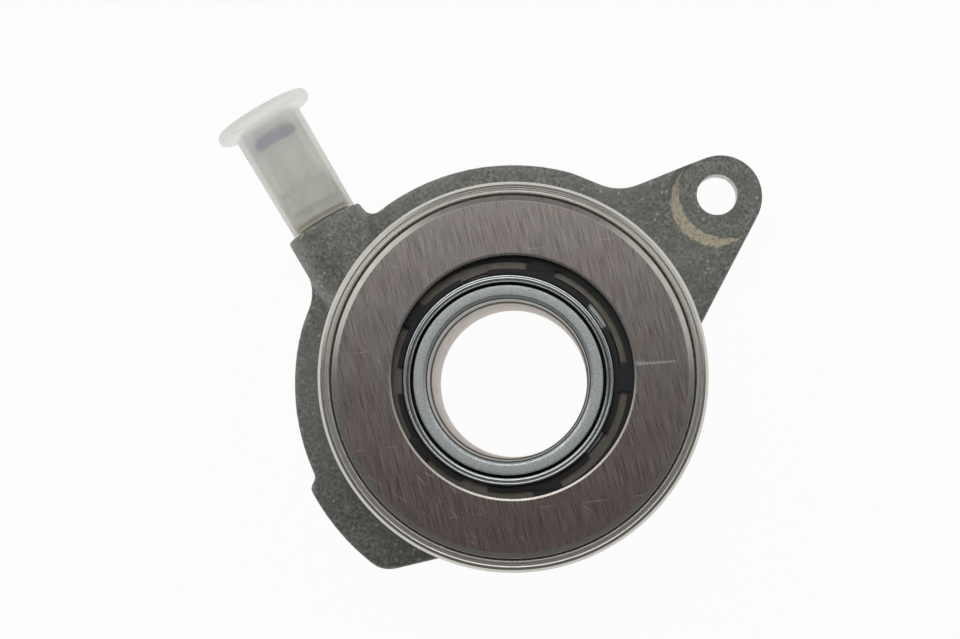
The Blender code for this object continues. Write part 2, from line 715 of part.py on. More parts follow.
def build_boot(shaft, look):
    """The dust boot: a folded rubber sleeve between the housing and the spring cup."""
    foot = FLANGE_THICKNESS + GAP
    head = cup_flange_top_z
    bead_in = spring_rib_r + SPRING_RIB_WALL + GAP
    low = foot + BOOT_BEAD
    high = head - BOOT_BEAD
    fold = (high - low) / BOOT_FOLDS
    outer = [(bead_in + BOOT_BEAD, head), (bead_in + BOOT_BEAD, high), (boot_valley_r, high)]
    inner = [(cup_rim_r + GAP, head), (cup_rim_r + GAP, cup_flange_z - BOOT_SHEET)]
    for i in range(BOOT_FOLDS):
        crest = high - (i + 0.5) * fold
        outer.append((boot_crest_r, crest))
        inner.append((boot_crest_r - BOOT_SHEET, crest))
        if i < BOOT_FOLDS - 1:
            valley = high - (i + 1) * fold
            outer.append((boot_valley_r, valley))
            inner.append((boot_valley_r - BOOT_SHEET, valley))
    outer += [(boot_valley_r, low), (bead_in + BOOT_BEAD, low), (bead_in + BOOT_BEAD, foot)]
    inner += [(bead_in, foot + SPRING_RIB_HEIGHT), (bead_in, foot)]
    turned("dust_boot", outer + inner[::-1], shaft, look)


def build_wave_washer(parent, look):
    """The waved spring washer that lets the bearing slide sideways under a light grip."""
    low, high = wave_z, wave_z + WAVE_SHEET
    flat = turned("wave_washer_flat", [
        (inner_flange_bore_r, high), (wave_rim_r, high), (wave_rim_r, low), (inner_flange_bore_r, low)
    ], parent, steps=WIDE_STEPS)
    mesh = evaluated_mesh(flat)
    for vertex in mesh.vertices:
        angle = math.atan2(vertex.co.y, vertex.co.x)
        vertex.co.z += WAVE_RISE * (1.0 - math.cos(WAVE_COUNT * angle)) / 2
    bpy.data.objects.remove(flat)
    place("wave_washer", mesh, parent, look)


def build_bearing(parent, looks):
    """The ball bearing: both rings, shell, seal, cage and balls."""
    bend = INNER_RING_BEND
    turned("bearing_inner_ring", [
        (inner_flange_bore_r, inner_flange_top_z),
        *arc(inner_ring_r - bend, inner_flange_top_z - bend, bend, 90.0, 0.0, 2),
        *arc(ball_circle_r, ball_z, race_r, 180.0, INNER_RACE_END, 5),
        *arc(ball_circle_r, ball_z, race_r + INNER_RING_SHEET, INNER_RACE_END, 180.0, 4),
        (inner_ring_bore_r, inner_flange_z),
        (inner_flange_bore_r, inner_flange_z),
    ], parent, looks["race_steel"], WIDE_STEPS)

    race = arc(ball_circle_r, ball_z, race_r, OUTER_RACE_START, OUTER_RACE_END, 5)
    turned("bearing_outer_ring", [
        (face_inner_r, face_z - FACE_CHAMFER),
        (face_inner_r + FACE_CHAMFER, face_z),
        (face_outer_r - FACE_CHAMFER, face_z),
        (face_outer_r, face_z - FACE_CHAMFER),
        (face_outer_r + FACE_CHAMFER, step_z),
        (outer_ring_r, step_z),
        (outer_ring_r, outer_skirt_z),
        (race[0][0], outer_skirt_z),
        *race,
        (race[-1][0] - GAP, outer_flange_z),
        (face_inner_r, outer_flange_z),
    ], parent, looks["ground_steel"], WIDE_STEPS)

    bead = SHELL_SHEET / 2
    turned("bearing_shell", [
        (shell_lip_r, shell_top_z - bead),
        (shell_lip_r + bead / 2, shell_top_z),
        (shell_lip_r + bead, shell_top_z),
        (shell_lip_r + 2 * bead, shell_top_z - bead),
        *arc(bearing_r - SHELL_BEND, shell_top_z - SHELL_BEND, SHELL_BEND, 90.0, 0.0, 3),
        *arc(bearing_r - SHELL_BEND, shell_foot_z + SHELL_BEND, SHELL_BEND, 0.0, -90.0, 2),
        (shell_foot_r, shell_foot_z),
        (shell_foot_r, shell_foot_z + SHELL_SHEET),
        (shell_bore_r, shell_foot_z + SHELL_SHEET),
        (shell_bore_r, shell_top_z - SHELL_SHEET),
        (shell_lip_r, shell_top_z - SHELL_SHEET),
    ], parent, looks["shell_steel"], WIDE_STEPS)

    seal_bore = ball_circle_r + (race_r + INNER_RING_SHEET) * math.cos(math.radians(INNER_RACE_END)) + GAP
    turned("bearing_seal", [
        (seal_bore, bearing_seal_z + BEARING_SEAL_SHEET),
        (shell_bore_r - GAP, bearing_seal_z + BEARING_SEAL_SHEET),
        (shell_bore_r - GAP, bearing_seal_z),
        (seal_bore, bearing_seal_z),
    ], parent, looks["rubber"])


def build_cage_and_balls(parent, looks):
    """The crown cage and the balls it spaces, each ball a piece of its own."""
    out = Vector((math.cos(CAGE_TILT), math.sin(CAGE_TILT)))
    across = Vector((out.y, -out.x)) * (CAGE_SHEET / 2)
    centre = Vector((ball_circle_r, ball_z))
    corners = [
        centre + out * CAGE_RIM - across,
        centre + out * CAGE_RIM + across,
        centre - out * CAGE_PRONG + across,
        centre - out * CAGE_PRONG - across,
    ]
    cage = turned("ball_cage", [tuple(corner) for corner in corners], parent, looks["cage"], WIDE_STEPS)

    pockets = bmesh.new()
    for i in range(BALL_COUNT):
        pocket = bmesh.ops.create_uvsphere(
            pockets, u_segments=BALL_STEPS, v_segments=BALL_RINGS, radius=race_r
        )
        x, y = on_circle(ball_circle_r, math.tau * i / BALL_COUNT)
        bmesh.ops.translate(pockets, vec=(x, y, ball_z), verts=pocket["verts"])
    mesh = bpy.data.meshes.new("ball_pockets")
    pockets.to_mesh(mesh)
    pockets.free()
    combine(cage, place("ball_pockets", mesh, parent), "DIFFERENCE")

    for i in range(BALL_COUNT):
        shape = bmesh.new()
        bmesh.ops.create_uvsphere(shape, u_segments=BALL_STEPS, v_segments=BALL_RINGS, radius=BALL_R)
        ball = bpy.data.meshes.new("ball")
        shape.to_mesh(ball)
        shape.free()
        ball.shade_smooth()
        x, y = on_circle(ball_circle_r, math.tau * i / BALL_COUNT)
        place("ball_%02d" % (i + 1), ball, parent, looks["ball"], (x, y, ball_z))


def slot_outline():
    """The centring ring's inner edge, which runs out through each mouth and round its slot."""
    pitch = math.tau / SLOT_COUNT
    mouth = SLOT_MOUTH_ANGLE / 2
    end_r = (slot_outer_r - slot_inner_r) / 2
    mid_r = (slot_outer_r + slot_inner_r) / 2
    end = SLOT_ANGLE / 2 - end_r / mid_r
    points = []
    for i in range(SLOT_COUNT):
        middle = SLOT_FIRST_ANGLE + i * pitch
        start, finish_angle = middle - end, middle + end
        points += round_stretch(centring_bore_r, middle - pitch + mouth, middle - mouth)
        points += round_stretch(slot_inner_r, middle - mouth, start)
        cap = round_stretch(end_r, start - math.pi, start - math.tau, on_circle(mid_r, start))
        points += cap[1:-1]
        points += round_stretch(slot_outer_r, start, finish_angle)
        cap = round_stretch(end_r, finish_angle, finish_angle + math.pi, on_circle(mid_r, finish_angle))
        points += cap[1:-1]
        points += round_stretch(slot_inner_r, finish_angle, middle + mouth)
    return points


def build_centring_rings(shaft, looks):
    """The slotted plastic ring over the bearing's flange, and the zinc ring that holds it."""
    rim = round_stretch(centring_rim_r, 0.0, math.tau)[:-1]
    plate("centring_ring", [rim, slot_outline()], centring_z, centring_top_z, shaft, looks["black_plastic"])

    foot = retainer_z
    seat = centring_top_z + GAP
    top = seat + RETAINER_HEIGHT
    sheet = RETAINER_SHEET
    skirt = retainer_bore_r + sheet
    crown = retainer_rim_r - sheet
    turned("retaining_ring", [
        (neck_groove_r + GAP, foot + sheet),
        (retainer_bore_r, foot + sheet),
        (retainer_bore_r, top - sheet),
        (retainer_bore_r + sheet / 2, top - sheet / 2),
        (skirt, top - sheet),
        (skirt + sheet / 2, top),
        (crown, top),
        (retainer_rim_r, top - sheet),
        (retainer_rim_r, seat),
        (skirt, seat),
        (skirt, foot),
        (neck_groove_r + GAP, foot),
    ], shaft, looks["zinc"], WIDE_STEPS)


def build_inlet(port, looks):
    """Sealing washer, inlet fitting and its O-ring."""
    turned("port_washer", [
        (FITTING_STEM_R + GAP, port_washer_top),
        (FITTING_FLANGE_R, port_washer_top),
        (FITTING_FLANGE_R, port_washer_top - PORT_WASHER_THICKNESS),
        (FITTING_STEM_R + GAP, port_washer_top - PORT_WASHER_THICKNESS),
    ], port, looks["copper"], PORT_STEPS)

    stem_end = port_face - PORT_BORE_DEPTH + FITTING_STEM_CLEARANCE
    turned("inlet_fitting", [
        (FITTING_BORE_R, fitting_tip),
        (FITTING_SPIGOT_R - FITTING_TIP_CHAMFER, fitting_tip),
        (FITTING_SPIGOT_R, fitting_tip - FITTING_TIP_CHAMFER),
        (FITTING_SPIGOT_R, fitting_lip),
        (O_RING_GROOVE_R, fitting_lip),
        (O_RING_GROOVE_R, fitting_groove),
        (FITTING_SPIGOT_R, fitting_groove),
        (FITTING_SPIGOT_R, fitting_spigot + FITTING_BAND_HEIGHT),
        (FITTING_FLANGE_R, fitting_spigot),
        (FITTING_BAND_R, fitting_spigot),
        (FITTING_BAND_R, fitting_band),
        (FITTING_FLANGE_R, fitting_band),
        (FITTING_FLANGE_R, fitting_collar),
        (FITTING_NECK_R, fitting_collar),
        (FITTING_NECK_R, fitting_neck),
        (FITTING_FLANGE_R, fitting_neck),
        (FITTING_FLANGE_R, fitting_flange),
        (FITTING_STEM_R, fitting_flange),
        (FITTING_STEM_R, stem_end),
        (FITTING_BORE_R, stem_end),
    ], port, looks["fitting_metal"], PORT_STEPS)

    o_ring(
        "fitting_o_ring",
        O_RING_GROOVE_R + GAP + O_RING_SECTION_R,
        (fitting_groove + fitting_lip) / 2,
        O_RING_SECTION_R,
        port,
        looks["blue_rubber"],
        PORT_STEPS,
    )


def build_cap(port, look):
    """The transport cap over the inlet fitting, with a dished end disc."""
    tube_r = cap_bore_r + CAP_WALL
    disc_low = cap_end - CAP_DISC_THICKNESS
    edge = CAP_DISC_ROUND
    cap_axis = empty("cap_axis", port)
    turned("transport_cap", [
        (0.0, cap_end - CAP_DISH_DEPTH),
        (CAP_DISH_R, cap_end - CAP_DISH_DEPTH),
        (CAP_DISH_R + CAP_DISH_DEPTH, cap_end),
        *arc(CAP_DISC_R - edge, cap_end - edge, edge, 90.0, 0.0, 2),
        *arc(CAP_DISC_R - edge, disc_low + edge, edge, 0.0, -90.0, 2),
        (tube_r + CAP_WALL, disc_low),
        (tube_r, disc_low - CAP_WALL),
        (tube_r, cap_mouth),
        (cap_bore_r, cap_mouth),
        (cap_bore_r, cap_floor),
        (0.0, cap_floor),
    ], cap_axis, look, PORT_STEPS, closed=False)


def centre_footprint(root):
    """Move the root so that the world's origin is the middle of the unit's footprint."""
    bpy.context.view_layer.update()
    graph = bpy.context.evaluated_depsgraph_get()
    low = Vector((math.inf, math.inf))
    high = Vector((-math.inf, -math.inf))
    for piece in PIECES.objects:
        if piece.type == "EMPTY":
            continue
        solid = piece.evaluated_get(graph)
        mesh = solid.to_mesh()
        for vertex in mesh.vertices:
            x, y, _ = solid.matrix_world @ vertex.co
            low = Vector((min(low.x, x), min(low.y, y)))
            high = Vector((max(high.x, x), max(high.y, y)))
        solid.to_mesh_clear()
    middle = (low + high) / 2
    root.location = (-middle.x, -middle.y, 0.0)
    bpy.context.view_layer.update()


LOOKS = {
    "cast_aluminium": ((0.30, 0.30, 0.28), 0.55, 0.8),
    "sleeve_steel": ((0.55, 0.58, 0.58), 0.40, 1.0),
    "piston": ((0.03, 0.03, 0.035), 0.50),
    "rubber": ((0.02, 0.02, 0.02), 0.70),
    "white_plastic": ((0.80, 0.78, 0.72), 0.50),
    "zinc": ((0.75, 0.78, 0.78), 0.30, 1.0),
    "spring": ((0.35, 0.36, 0.38), 0.35, 1.0),
    "wave": ((0.60, 0.61, 0.60), 0.35, 1.0),
    "race_steel": ((0.38, 0.36, 0.33), 0.45, 1.0),
    "ground_steel": ((0.42, 0.39, 0.38), 0.38, 1.0),
    "shell_steel": ((0.62, 0.60, 0.55), 0.35, 1.0),
    "cage": ((0.05, 0.05, 0.045), 0.50),
    "ball": ((0.70, 0.70, 0.70), 0.12, 1.0),
    "black_plastic": ((0.025, 0.025, 0.028), 0.45),
    "copper": ((0.62, 0.45, 0.28), 0.35, 1.0),
    "fitting_metal": ((0.52, 0.53, 0.53), 0.35, 1.0),
    "blue_rubber": ((0.03, 0.05, 0.12), 0.50),
    "cap_plastic": ((0.82, 0.82, 0.78), 0.35, 0.0, 0.55),
}


def main():
    root = empty("unit_root")
    shaft = empty("shaft_axis", root)
    port_place = on_circle(PORT_OFFSET, PORT_ANGLE + math.pi / 2)
    port = empty("port_axis", root, (port_place.x, port_place.y, PORT_Z), (0.0, math.pi / 2, PORT_ANGLE))
    ear = empty("bolt_axis", root, (bolt_place.x, bolt_place.y, 0.0))
    piston_axis = empty("piston_axis", shaft)
    wave_axis = empty("wave_axis", piston_axis, (FLOAT_AT_REST.x, 0.0, 0.0))
    bearing_axis = empty("bearing_axis", wave_axis, (0.0, FLOAT_AT_REST.y, 0.0))

    build_housing(shaft, port, ear, LOOKS["cast_aluminium"])
    build_sleeve(shaft, LOOKS["sleeve_steel"])
    o_ring(
        "foot_seal",
        sleeve_r + GAP + FOOT_SEAL_SECTION_R,
        SLEEVE_FOOT_BED + FOOT_SEAL_BED_HEIGHT / 2,
        FOOT_SEAL_SECTION_R,
        shaft,
        LOOKS["rubber"],
    )
    build_piston_group(piston_axis, LOOKS)
    build_spring_group(piston_axis, LOOKS)
    build_wave_washer(wave_axis, LOOKS["wave"])
    build_bearing(bearing_axis, LOOKS)
    build_cage_and_balls(bearing_axis, LOOKS)
    build_centring_rings(piston_axis, LOOKS)
    build_inlet(port, LOOKS)
    build_cap(port, LOOKS["cap_plastic"])
    centre_footprint(root)


clear_scene()
PIECES = collection("concentric_slave_cylinder")
CUTTERS = collection("cutters")
main()
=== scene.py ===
"""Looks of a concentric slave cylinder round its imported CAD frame: pieces, finishes, light and camera."""

import json
import math
from types import SimpleNamespace

import bmesh
import bpy
from bpy.props import FloatProperty, FloatVectorProperty, IntProperty, PointerProperty
from mathutils import Matrix, Vector


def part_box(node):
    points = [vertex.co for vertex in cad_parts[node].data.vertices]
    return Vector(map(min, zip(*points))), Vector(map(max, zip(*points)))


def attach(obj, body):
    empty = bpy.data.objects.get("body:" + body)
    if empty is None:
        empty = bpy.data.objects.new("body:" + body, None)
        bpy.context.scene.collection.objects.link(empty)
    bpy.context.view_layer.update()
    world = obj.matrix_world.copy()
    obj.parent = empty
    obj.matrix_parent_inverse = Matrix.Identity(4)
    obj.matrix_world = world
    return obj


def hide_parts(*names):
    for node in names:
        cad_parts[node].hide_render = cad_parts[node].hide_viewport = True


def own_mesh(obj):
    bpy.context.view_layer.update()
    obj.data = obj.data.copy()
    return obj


bl_info = {
    "name": "Concentric slave cylinder",
    "version": (1, 0, 0),
    "blender": (4, 5, 0),
    "location": "3D View > Sidebar > Slave cylinder",
    "description": "Pieces, finishes, light and camera for a hydraulic clutch release unit",
    "category": "Object",
}

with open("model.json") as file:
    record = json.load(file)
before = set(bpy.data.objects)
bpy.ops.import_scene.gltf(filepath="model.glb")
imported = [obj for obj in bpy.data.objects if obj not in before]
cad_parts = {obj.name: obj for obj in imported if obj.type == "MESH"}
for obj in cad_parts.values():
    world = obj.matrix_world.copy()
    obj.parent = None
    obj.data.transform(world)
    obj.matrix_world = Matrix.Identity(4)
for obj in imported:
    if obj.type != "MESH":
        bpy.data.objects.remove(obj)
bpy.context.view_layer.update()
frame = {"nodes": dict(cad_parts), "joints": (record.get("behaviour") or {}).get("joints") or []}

MM = 0.001
ORIGIN = Vector((0.0, 0.0))
ARC_STEP = math.radians(3.0)
CORNER_STEPS = 4
TOOL_STEPS = 96
WIDE_STEPS = 128
PORT_STEPS = 64

# Camera: the lens's height and place beside the shaft's axis, and where it points on the floor
CAMERA_HEIGHT = 650 * MM
CAMERA_BESIDE_SHAFT = Vector((14.5, -9.8)) * MM
CAMERA_LENS = 119.4
SENSOR_WIDTH = 36.0
AIM_SLOPE = Vector((-0.03297, 0.03532))
LIGHT_DISTANCE = 900 * MM
LIGHT_AIM = Vector((0.0, 0.0, 30.0)) * MM
FLOOR_REACH = 1.5
FLOOR_DROP = 0.05 * MM
FLOOR_GLOW = 0.965

# Guide sleeve and the rings at its mouth
SLEEVE_WALL = 0.85 * MM
SLEEVE_MOUTH_STEP = 0.35 * MM
SLEEVE_STEP_DEPTH = 9.6 * MM
SLEEVE_LIP_R = 18.0 * MM
SLEEVE_LIP_SHEET = 0.9 * MM
SLEEVE_FOOT_SHEET = 1.0 * MM
ZINC_SKIRT_R = 18.55 * MM
ZINC_SHEET = 0.5 * MM
ZINC_SEAT = 47.4 * MM
SLOT_COUNT = 5
SLOT_FIRST_ANGLE = math.radians(36.0)
SLOT_ANGLE = math.radians(61.5)
SLOT_MOUTH_ANGLE = math.radians(14.2)
SLOT_INNER_BAND = 1.85 * MM
SLOT_WIDTH = 1.5 * MM

# Bearing
BALL_CIRCLE_R = 30.5 * MM
BALL_MIDDLE = (BALL_CIRCLE_R, 43.0 * MM)
RACE_R = 3.28 * MM
FACE_R = 33.25 * MM
FACE_LEDGE = 1.7 * MM
FACE_THICKNESS = 2.6 * MM
SHELL_LIP_R = 34.55 * MM
SHELL_FOOT_R = 33.4 * MM
SHELL_SHEET = 0.6 * MM
INNER_RING_SHEET = 1.5 * MM
INNER_BORE_STEP = 0.45 * MM

# Cup, wave washer, boot and spring
CUP_R = 24.0 * MM
CUP_SHEET = 0.9 * MM
WAVE_COUNT = 4
WAVE_SHEET = 0.4 * MM
BOOT_FOLDS = 4
BOOT_FOLD_POINTS = 12
BOOT_WALL = 0.8 * MM
BOOT_BEAD = 1.5 * MM
BOOT_VALLEY_R = 29.3 * MM
BOOT_FOOT_R = 28.9 * MM
SPRING_WIRE_R = 1.1 * MM
SPRING_TURNS = 4.5
SPRING_TURN_POINTS = 48
SPRING_CLOSED_GAP = 0.3 * MM

# The casting, about the shaft's axis
FLANGE_R = 44.0 * MM
FLANGE_TOP = 10.4 * MM
BODY_R = 30.8 * MM
LOBE_R = 46.0 * MM
LOBE_START = math.radians(205.5)
LOBE_STEP = math.radians(2.0)
LOBE_END = math.radians(232.0)
LOBE_CORNER_R = 5.6 * MM
LOBE_FILLET = 0.9 * MM
BOLT_DISTANCE = 56.0 * MM
BOLT_ANGLE = math.radians(42.7)
BOLT_HOLE_R = 4.1 * MM
EAR_R = 8.4 * MM
EAR_SHIFT = Vector((0.66, -0.45)) * MM
EAR_RIGHT_SIDE = math.radians(62.4)
EAR_RIGHT_FILLET = 4.0 * MM
EAR_UPPER_SIDE = math.radians(21.7)
EAR_UPPER_FILLET = 10.0 * MM
EAR_SEAT_TOP = 8.6 * MM
EAR_SEAT_RUN = 2.0 * MM
EAR_SEAT_MARGIN = 0.3 * MM
CRESCENT_ANGLE = math.radians(225.0)
CRESCENT_R = 9.15 * MM
CRESCENT_WIDTH = 2.0 * MM
PORT_BOSS_R = 8.2 * MM
PORT_BOSS_LENGTH = 21.0 * MM
PORT_FOOT_SETBACK = 0.4 * MM
PORT_RIGHT_FILLET = 2.2 * MM
PORT_LEFT_FILLET = 8.0 * MM
PORT_BORE_R = 4.5 * MM
PORT_BORE_DEPTH = 13.0 * MM
BOSS_SHIFT = 0.3 * MM
WASHER_BED = 0.3 * MM
CYLINDER_R = 22.7 * MM
CHAMBER_R = 20.5 * MM
CHAMBER_FLOOR = 5.2 * MM
SLEEVE_HOLE_R = 16.05 * MM
SEAL_BED_R = 18.3 * MM
SEAL_BED_TOP = 3.8 * MM
FOOT_BED_R = 20.6 * MM
FOOT_BED_TOP = 1.6 * MM
SPRING_RIB_R = 27.9 * MM
SPRING_RIB_WALL = 0.8 * MM
SPRING_RIB_TOP = 11.6 * MM
BOSS_CLEAR_R = 33.4 * MM
CAST_GRID = 0.5 * MM

# Inlet fitting and transport cap
SPIGOT_R = 4.15 * MM
SEAL_GROOVE_R = 2.75 * MM
SEAL_GROOVE_HALF = 1.25 * MM
SEAL_INSET = 0.45 * MM
FITTING_STEM_R = 4.2 * MM
FITTING_NECK_R = 4.7 * MM
FITTING_BAND_R = 4.9 * MM
CAP_BORE_R = 6.05 * MM
CAP_WALL = 0.8 * MM
CAP_DISC_R = 10.2 * MM
CAP_DISC_SETBACK = 1.5 * MM
CAP_DISC_THICKNESS = 2.7 * MM
CAP_DISH_R = 7.8 * MM
CAP_DISH_DEPTH = 0.7 * MM
CAP_FLOOR_DEPTH = 2.0 * MM


def colour_setting(name, description, default):
    return FloatVectorProperty(
        name=name, description=description, subtype="COLOR", default=default, min=0.0, max=1.0
    )


class ReleaseUnitSettings(bpy.types.PropertyGroup):
    """Sizes and colours that can be changed before the pieces are made."""

    round_steps: IntProperty(
        name="Round steps", description="Steps round each turned piece", default=192, min=48, max=384
    )
    grain_angle: FloatProperty(
        name="Grain angle", description="Direction of the grinding marks on the bearing face",
        default=math.radians(14.0), subtype="ANGLE",
    )
    face_colour: colour_setting("Bearing face", "Colour of the ground steel face", (0.325, 0.298, 0.278))
    shell_colour: colour_setting("Bearing shell", "Colour of the rolled shell", (0.66, 0.635, 0.575))
    casting_colour: colour_setting("Casting", "Colour of the cast aluminium", (0.32, 0.325, 0.29))
    zinc_colour: colour_setting("Zinc plate", "Colour of the plated ring", (0.84, 0.89, 0.87))
    sleeve_colour: colour_setting("Guide sleeve", "Colour of the drawn sleeve", (0.64, 0.68, 0.67))
    cap_colour: colour_setting("Transport cap", "Colour of the milky plastic", (0.95, 0.945, 0.92))
    light_power: FloatProperty(
        name="Light power", description="Power of the main soft light", default=1.2, min=0.0, unit="POWER"
    )


def settings():
    return bpy.context.scene.release_unit


# Measures taken from the frame


def measured(node, place):
    """Bore, outer radius and ends of a CAD node about the Z axis of a place."""
    inverse = place.inverted()
    points = [inverse @ vertex.co for vertex in frame["nodes"][node].data.vertices]
    radii = [math.hypot(point.x, point.y) for point in points]
    heights = [point.z for point in points]
    return SimpleNamespace(bore=min(radii), outer=max(radii), low=min(heights), high=max(heights))


def standing(node):
    """A place on a turned node's own upright axis, at the floor."""
    low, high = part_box(node)
    return Matrix.Translation(((low.x + high.x) / 2, (low.y + high.y) / 2, 0.0))


def joint(name):
    return next(item for item in frame["joints"] if item["name"] == name)


def inlet_place():
    """The inlet's axis: Z runs out of the port, from the middle of the fitting's O-ring."""
    direction = Vector(joint("cap_pull")["axis"])
    low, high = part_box("fitting_o_ring")
    return Matrix.Translation((low + high) / 2) @ direction.to_track_quat("Z", "Y").to_matrix().to_4x4()


SHAFT = standing("guide_sleeve")
BEARING = standing("bearing_outer_ring")
INLET = inlet_place()


# Shapes


def on_circle(radius, angle, centre=ORIGIN):
    return centre + Vector((math.cos(angle), math.sin(angle))) * radius


def arc(radius, start, end, centre=ORIGIN, step=ARC_STEP, count=0):
    """Points along an arc, in a set count of steps or in steps of about one size."""
    count = count or max(2, math.ceil(abs(end - start) / step))
    return [on_circle(radius, start + (end - start) * i / count, centre) for i in range(count + 1)]


def fillet(before, corner, after, radius, count=0):
    """The arc that rounds a corner between the points before and after it."""
    to_before = (before - corner).normalized()
    to_after = (after - corner).normalized()
    half = to_before.angle(to_after) / 2
    centre = corner + (to_before + to_after).normalized() * (radius / math.sin(half))
    first = corner + to_before * (radius / math.tan(half)) - centre
    last = corner + to_after * (radius / math.tan(half)) - centre
    start = math.atan2(first.y, first.x)
    sweep = math.atan2(first.x * last.y - first.y * last.x, first.dot(last))
    return arc(radius, start, start + sweep, centre, count=count)


def joined_outline(parts):
    """Join stretches of points, rounding each corner that is given as (corner, radius)."""
    points = []
    for i, part in enumerate(parts):
        if isinstance(part, list):
            points += part
            continue
        before = parts[i - 1]
        before = before[-1] if isinstance(before, list) else before[0]
        points += fillet(before, part[0], parts[(i + 1) % len(parts)][0], part[1])
    return points


def softened(corners):
    """A closed profile with round corners, from (radius, height, rounding) corners."""
    points = []
    for i, (radius, height, rounding) in enumerate(corners):
        corner = Vector((radius, height))
        if rounding:
            before, after = Vector(corners[i - 1][:2]), Vector(corners[(i + 1) % len(corners)][:2])
            points += fillet(before, corner, after, rounding, CORNER_STEPS)
        else:
            points.append(corner)
    return points


def ring(inner, outer, high, low, inner_round, outer_round):
    """The corners of a plain ring's profile, from its upper inner edge outwards and down."""
    return [
        (inner, high, inner_round), (outer, high, outer_round),
        (outer, low, outer_round), (inner, low, inner_round),
    ]


def round_section(middle, radius, start, step, count):
    """Profile points round a (radius, height) middle, from a start angle in steps, in degrees."""
    angles = [math.radians(start + step * i) for i in range(count)]
    return [
        (middle[0] + radius * math.cos(angle), middle[1] + radius * math.sin(angle), 0.0) for angle in angles
    ]


def linked(name, data, place=Matrix()):
    """Put a mesh, curve, lamp or camera into the scene."""
    made = bpy.data.objects.new(name, data)
    bpy.context.scene.collection.objects.link(made)
    made.matrix_world = place
    return made


def taken_mesh(name, source, *tools):
    """The mesh of a helper after its modifiers; the helper and its tools are then removed."""
    bpy.context.view_layer.update()
    graph = bpy.context.evaluated_depsgraph_get()
    mesh = bpy.data.meshes.new_from_object(source.evaluated_get(graph))
    mesh.name = name
    for item in (source, *tools):
        bpy.data.objects.remove(item)
    return mesh


def finished_piece(name, mesh, place, look, body, node):
    """Link a mesh as a piece, shade it, hang it on its body and hide the CAD node it stands for."""
    piece = linked(name, mesh, place)
    mesh.materials.clear()
    mesh.materials.append(LOOKS[look])
    mesh.shade_smooth()
    mesh.set_sharp_from_angle(angle=math.radians(40.0))
    weigh = piece.modifiers.new("Even shading", "WEIGHTED_NORMAL")
    weigh.keep_sharp = True
    bpy.context.view_layer.update()
    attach(piece, body)
    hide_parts(node)
    return piece


def welded(shape, name):
    """End a bmesh as a mesh, with its double points merged and its normals outwards."""
    bmesh.ops.remove_doubles(shape, verts=shape.verts, dist=0.001 * MM)
    bmesh.ops.dissolve_degenerate(shape, edges=shape.edges, dist=0.0001 * MM)
    bmesh.ops.recalc_face_normals(shape, faces=shape.faces)
    mesh = bpy.data.meshes.new(name)
    shape.to_mesh(mesh)
    shape.free()
    return mesh


def spun_mesh(name, points, steps):
    """Turn a closed profile of (radius, height) points about Z."""
    shape = bmesh.new()
    profile = [shape.verts.new((radius, 0.0, height)) for radius, height in points]
    edges = [shape.edges.new(pair) for pair in zip(profile, profile[1:] + profile[:1])]
    bmesh.ops.spin(
        shape, geom=profile + edges, cent=(0, 0, 0), axis=(0, 0, 1),
        angle=math.tau, steps=steps, use_merge=True,
    )
    return welded(shape, name)


def turned(name, corners, place, look, body, node, steps=None):
    mesh = spun_mesh(name, softened(corners), steps or settings().round_steps)
    return finished_piece(name, mesh, place, look, body, node)


def tube(name, inner, outer, top, bottom, place, steps=TOOL_STEPS):
    """A plain turned helper for the casting, solid where its inner radius is 0."""
    points = [(inner, top), (outer, top), (outer, bottom), (inner, bottom)]
    return linked(name, spun_mesh(name, points, steps), place)


def combine(piece, tools, operation="DIFFERENCE"):
    for tool in tools:
        step = piece.modifiers.new(tool.name, "BOOLEAN")
        step.operation = operation
        step.solver = "MANIFOLD"
        step.object = tool


def plate_mesh(name, outlines, thickness):
    """A flat mesh from closed outlines, the first its edge and the others its holes."""
    curve = bpy.data.curves.new(name, "CURVE")
    curve.dimensions = "2D"
    curve.fill_mode = "BOTH"
    curve.extrude = thickness / 2
    for outline in outlines:
        spline = curve.splines.new("POLY")
        spline.points.add(len(outline) - 1)
        for point, (x, y) in zip(spline.points, outline):
            point.co = (x, y, 0.0, 1.0)
        spline.use_cyclic_u = True
    shape = bmesh.new()
    shape.from_mesh(taken_mesh(name, linked(name, curve)))
    return welded(shape, name)


# Finishes


def feed(tree, node, inputs):
    """Link or set a node's inputs."""
    for key, value in inputs.items():
        if isinstance(value, bpy.types.NodeSocket):
            tree.links.new(value, node.inputs[key])
        else:
            node.inputs[key].default_value = value
    return node


def wire(tree, kind, inputs=None, **values):
    """Add a node, set its values, and link or set its inputs."""
    made = tree.nodes.new(kind)
    for key, value in values.items():
        setattr(made, key, value)
    return feed(tree, made, inputs or {})


def new_look(name, metallic=0.0, roughness=0.5):
    """A material with a Principled shader, its tree, and its object coordinates."""
    look = bpy.data.materials.new(name)
    look.use_nodes = True
    tree = look.node_tree
    shader = feed(tree, tree.nodes["Principled BSDF"], {"Metallic": metallic, "Roughness": roughness})
    return look, tree, shader, wire(tree, "ShaderNodeTexCoord").outputs["Object"]


def streaks(tree, coords, angle, across, along, detail=3.0):
    """Noise drawn out along one direction, for grinding and wiping marks."""
    turned_coords = wire(tree, "ShaderNodeMapping", {
        "Vector": coords, "Rotation": (0.0, 0.0, angle), "Scale": (1.0 / across, 1.0 / along, 1.0 / along)
    }, vector_type="TEXTURE")
    return grain(tree, turned_coords.outputs["Vector"], 1.0, detail)


def grain(tree, coords, scale, detail=4.0, roughness=0.6):
    return wire(tree, "ShaderNodeTexNoise", {
        "Vector": coords, "Scale": scale, "Detail": detail, "Roughness": roughness
    }).outputs["Fac"]


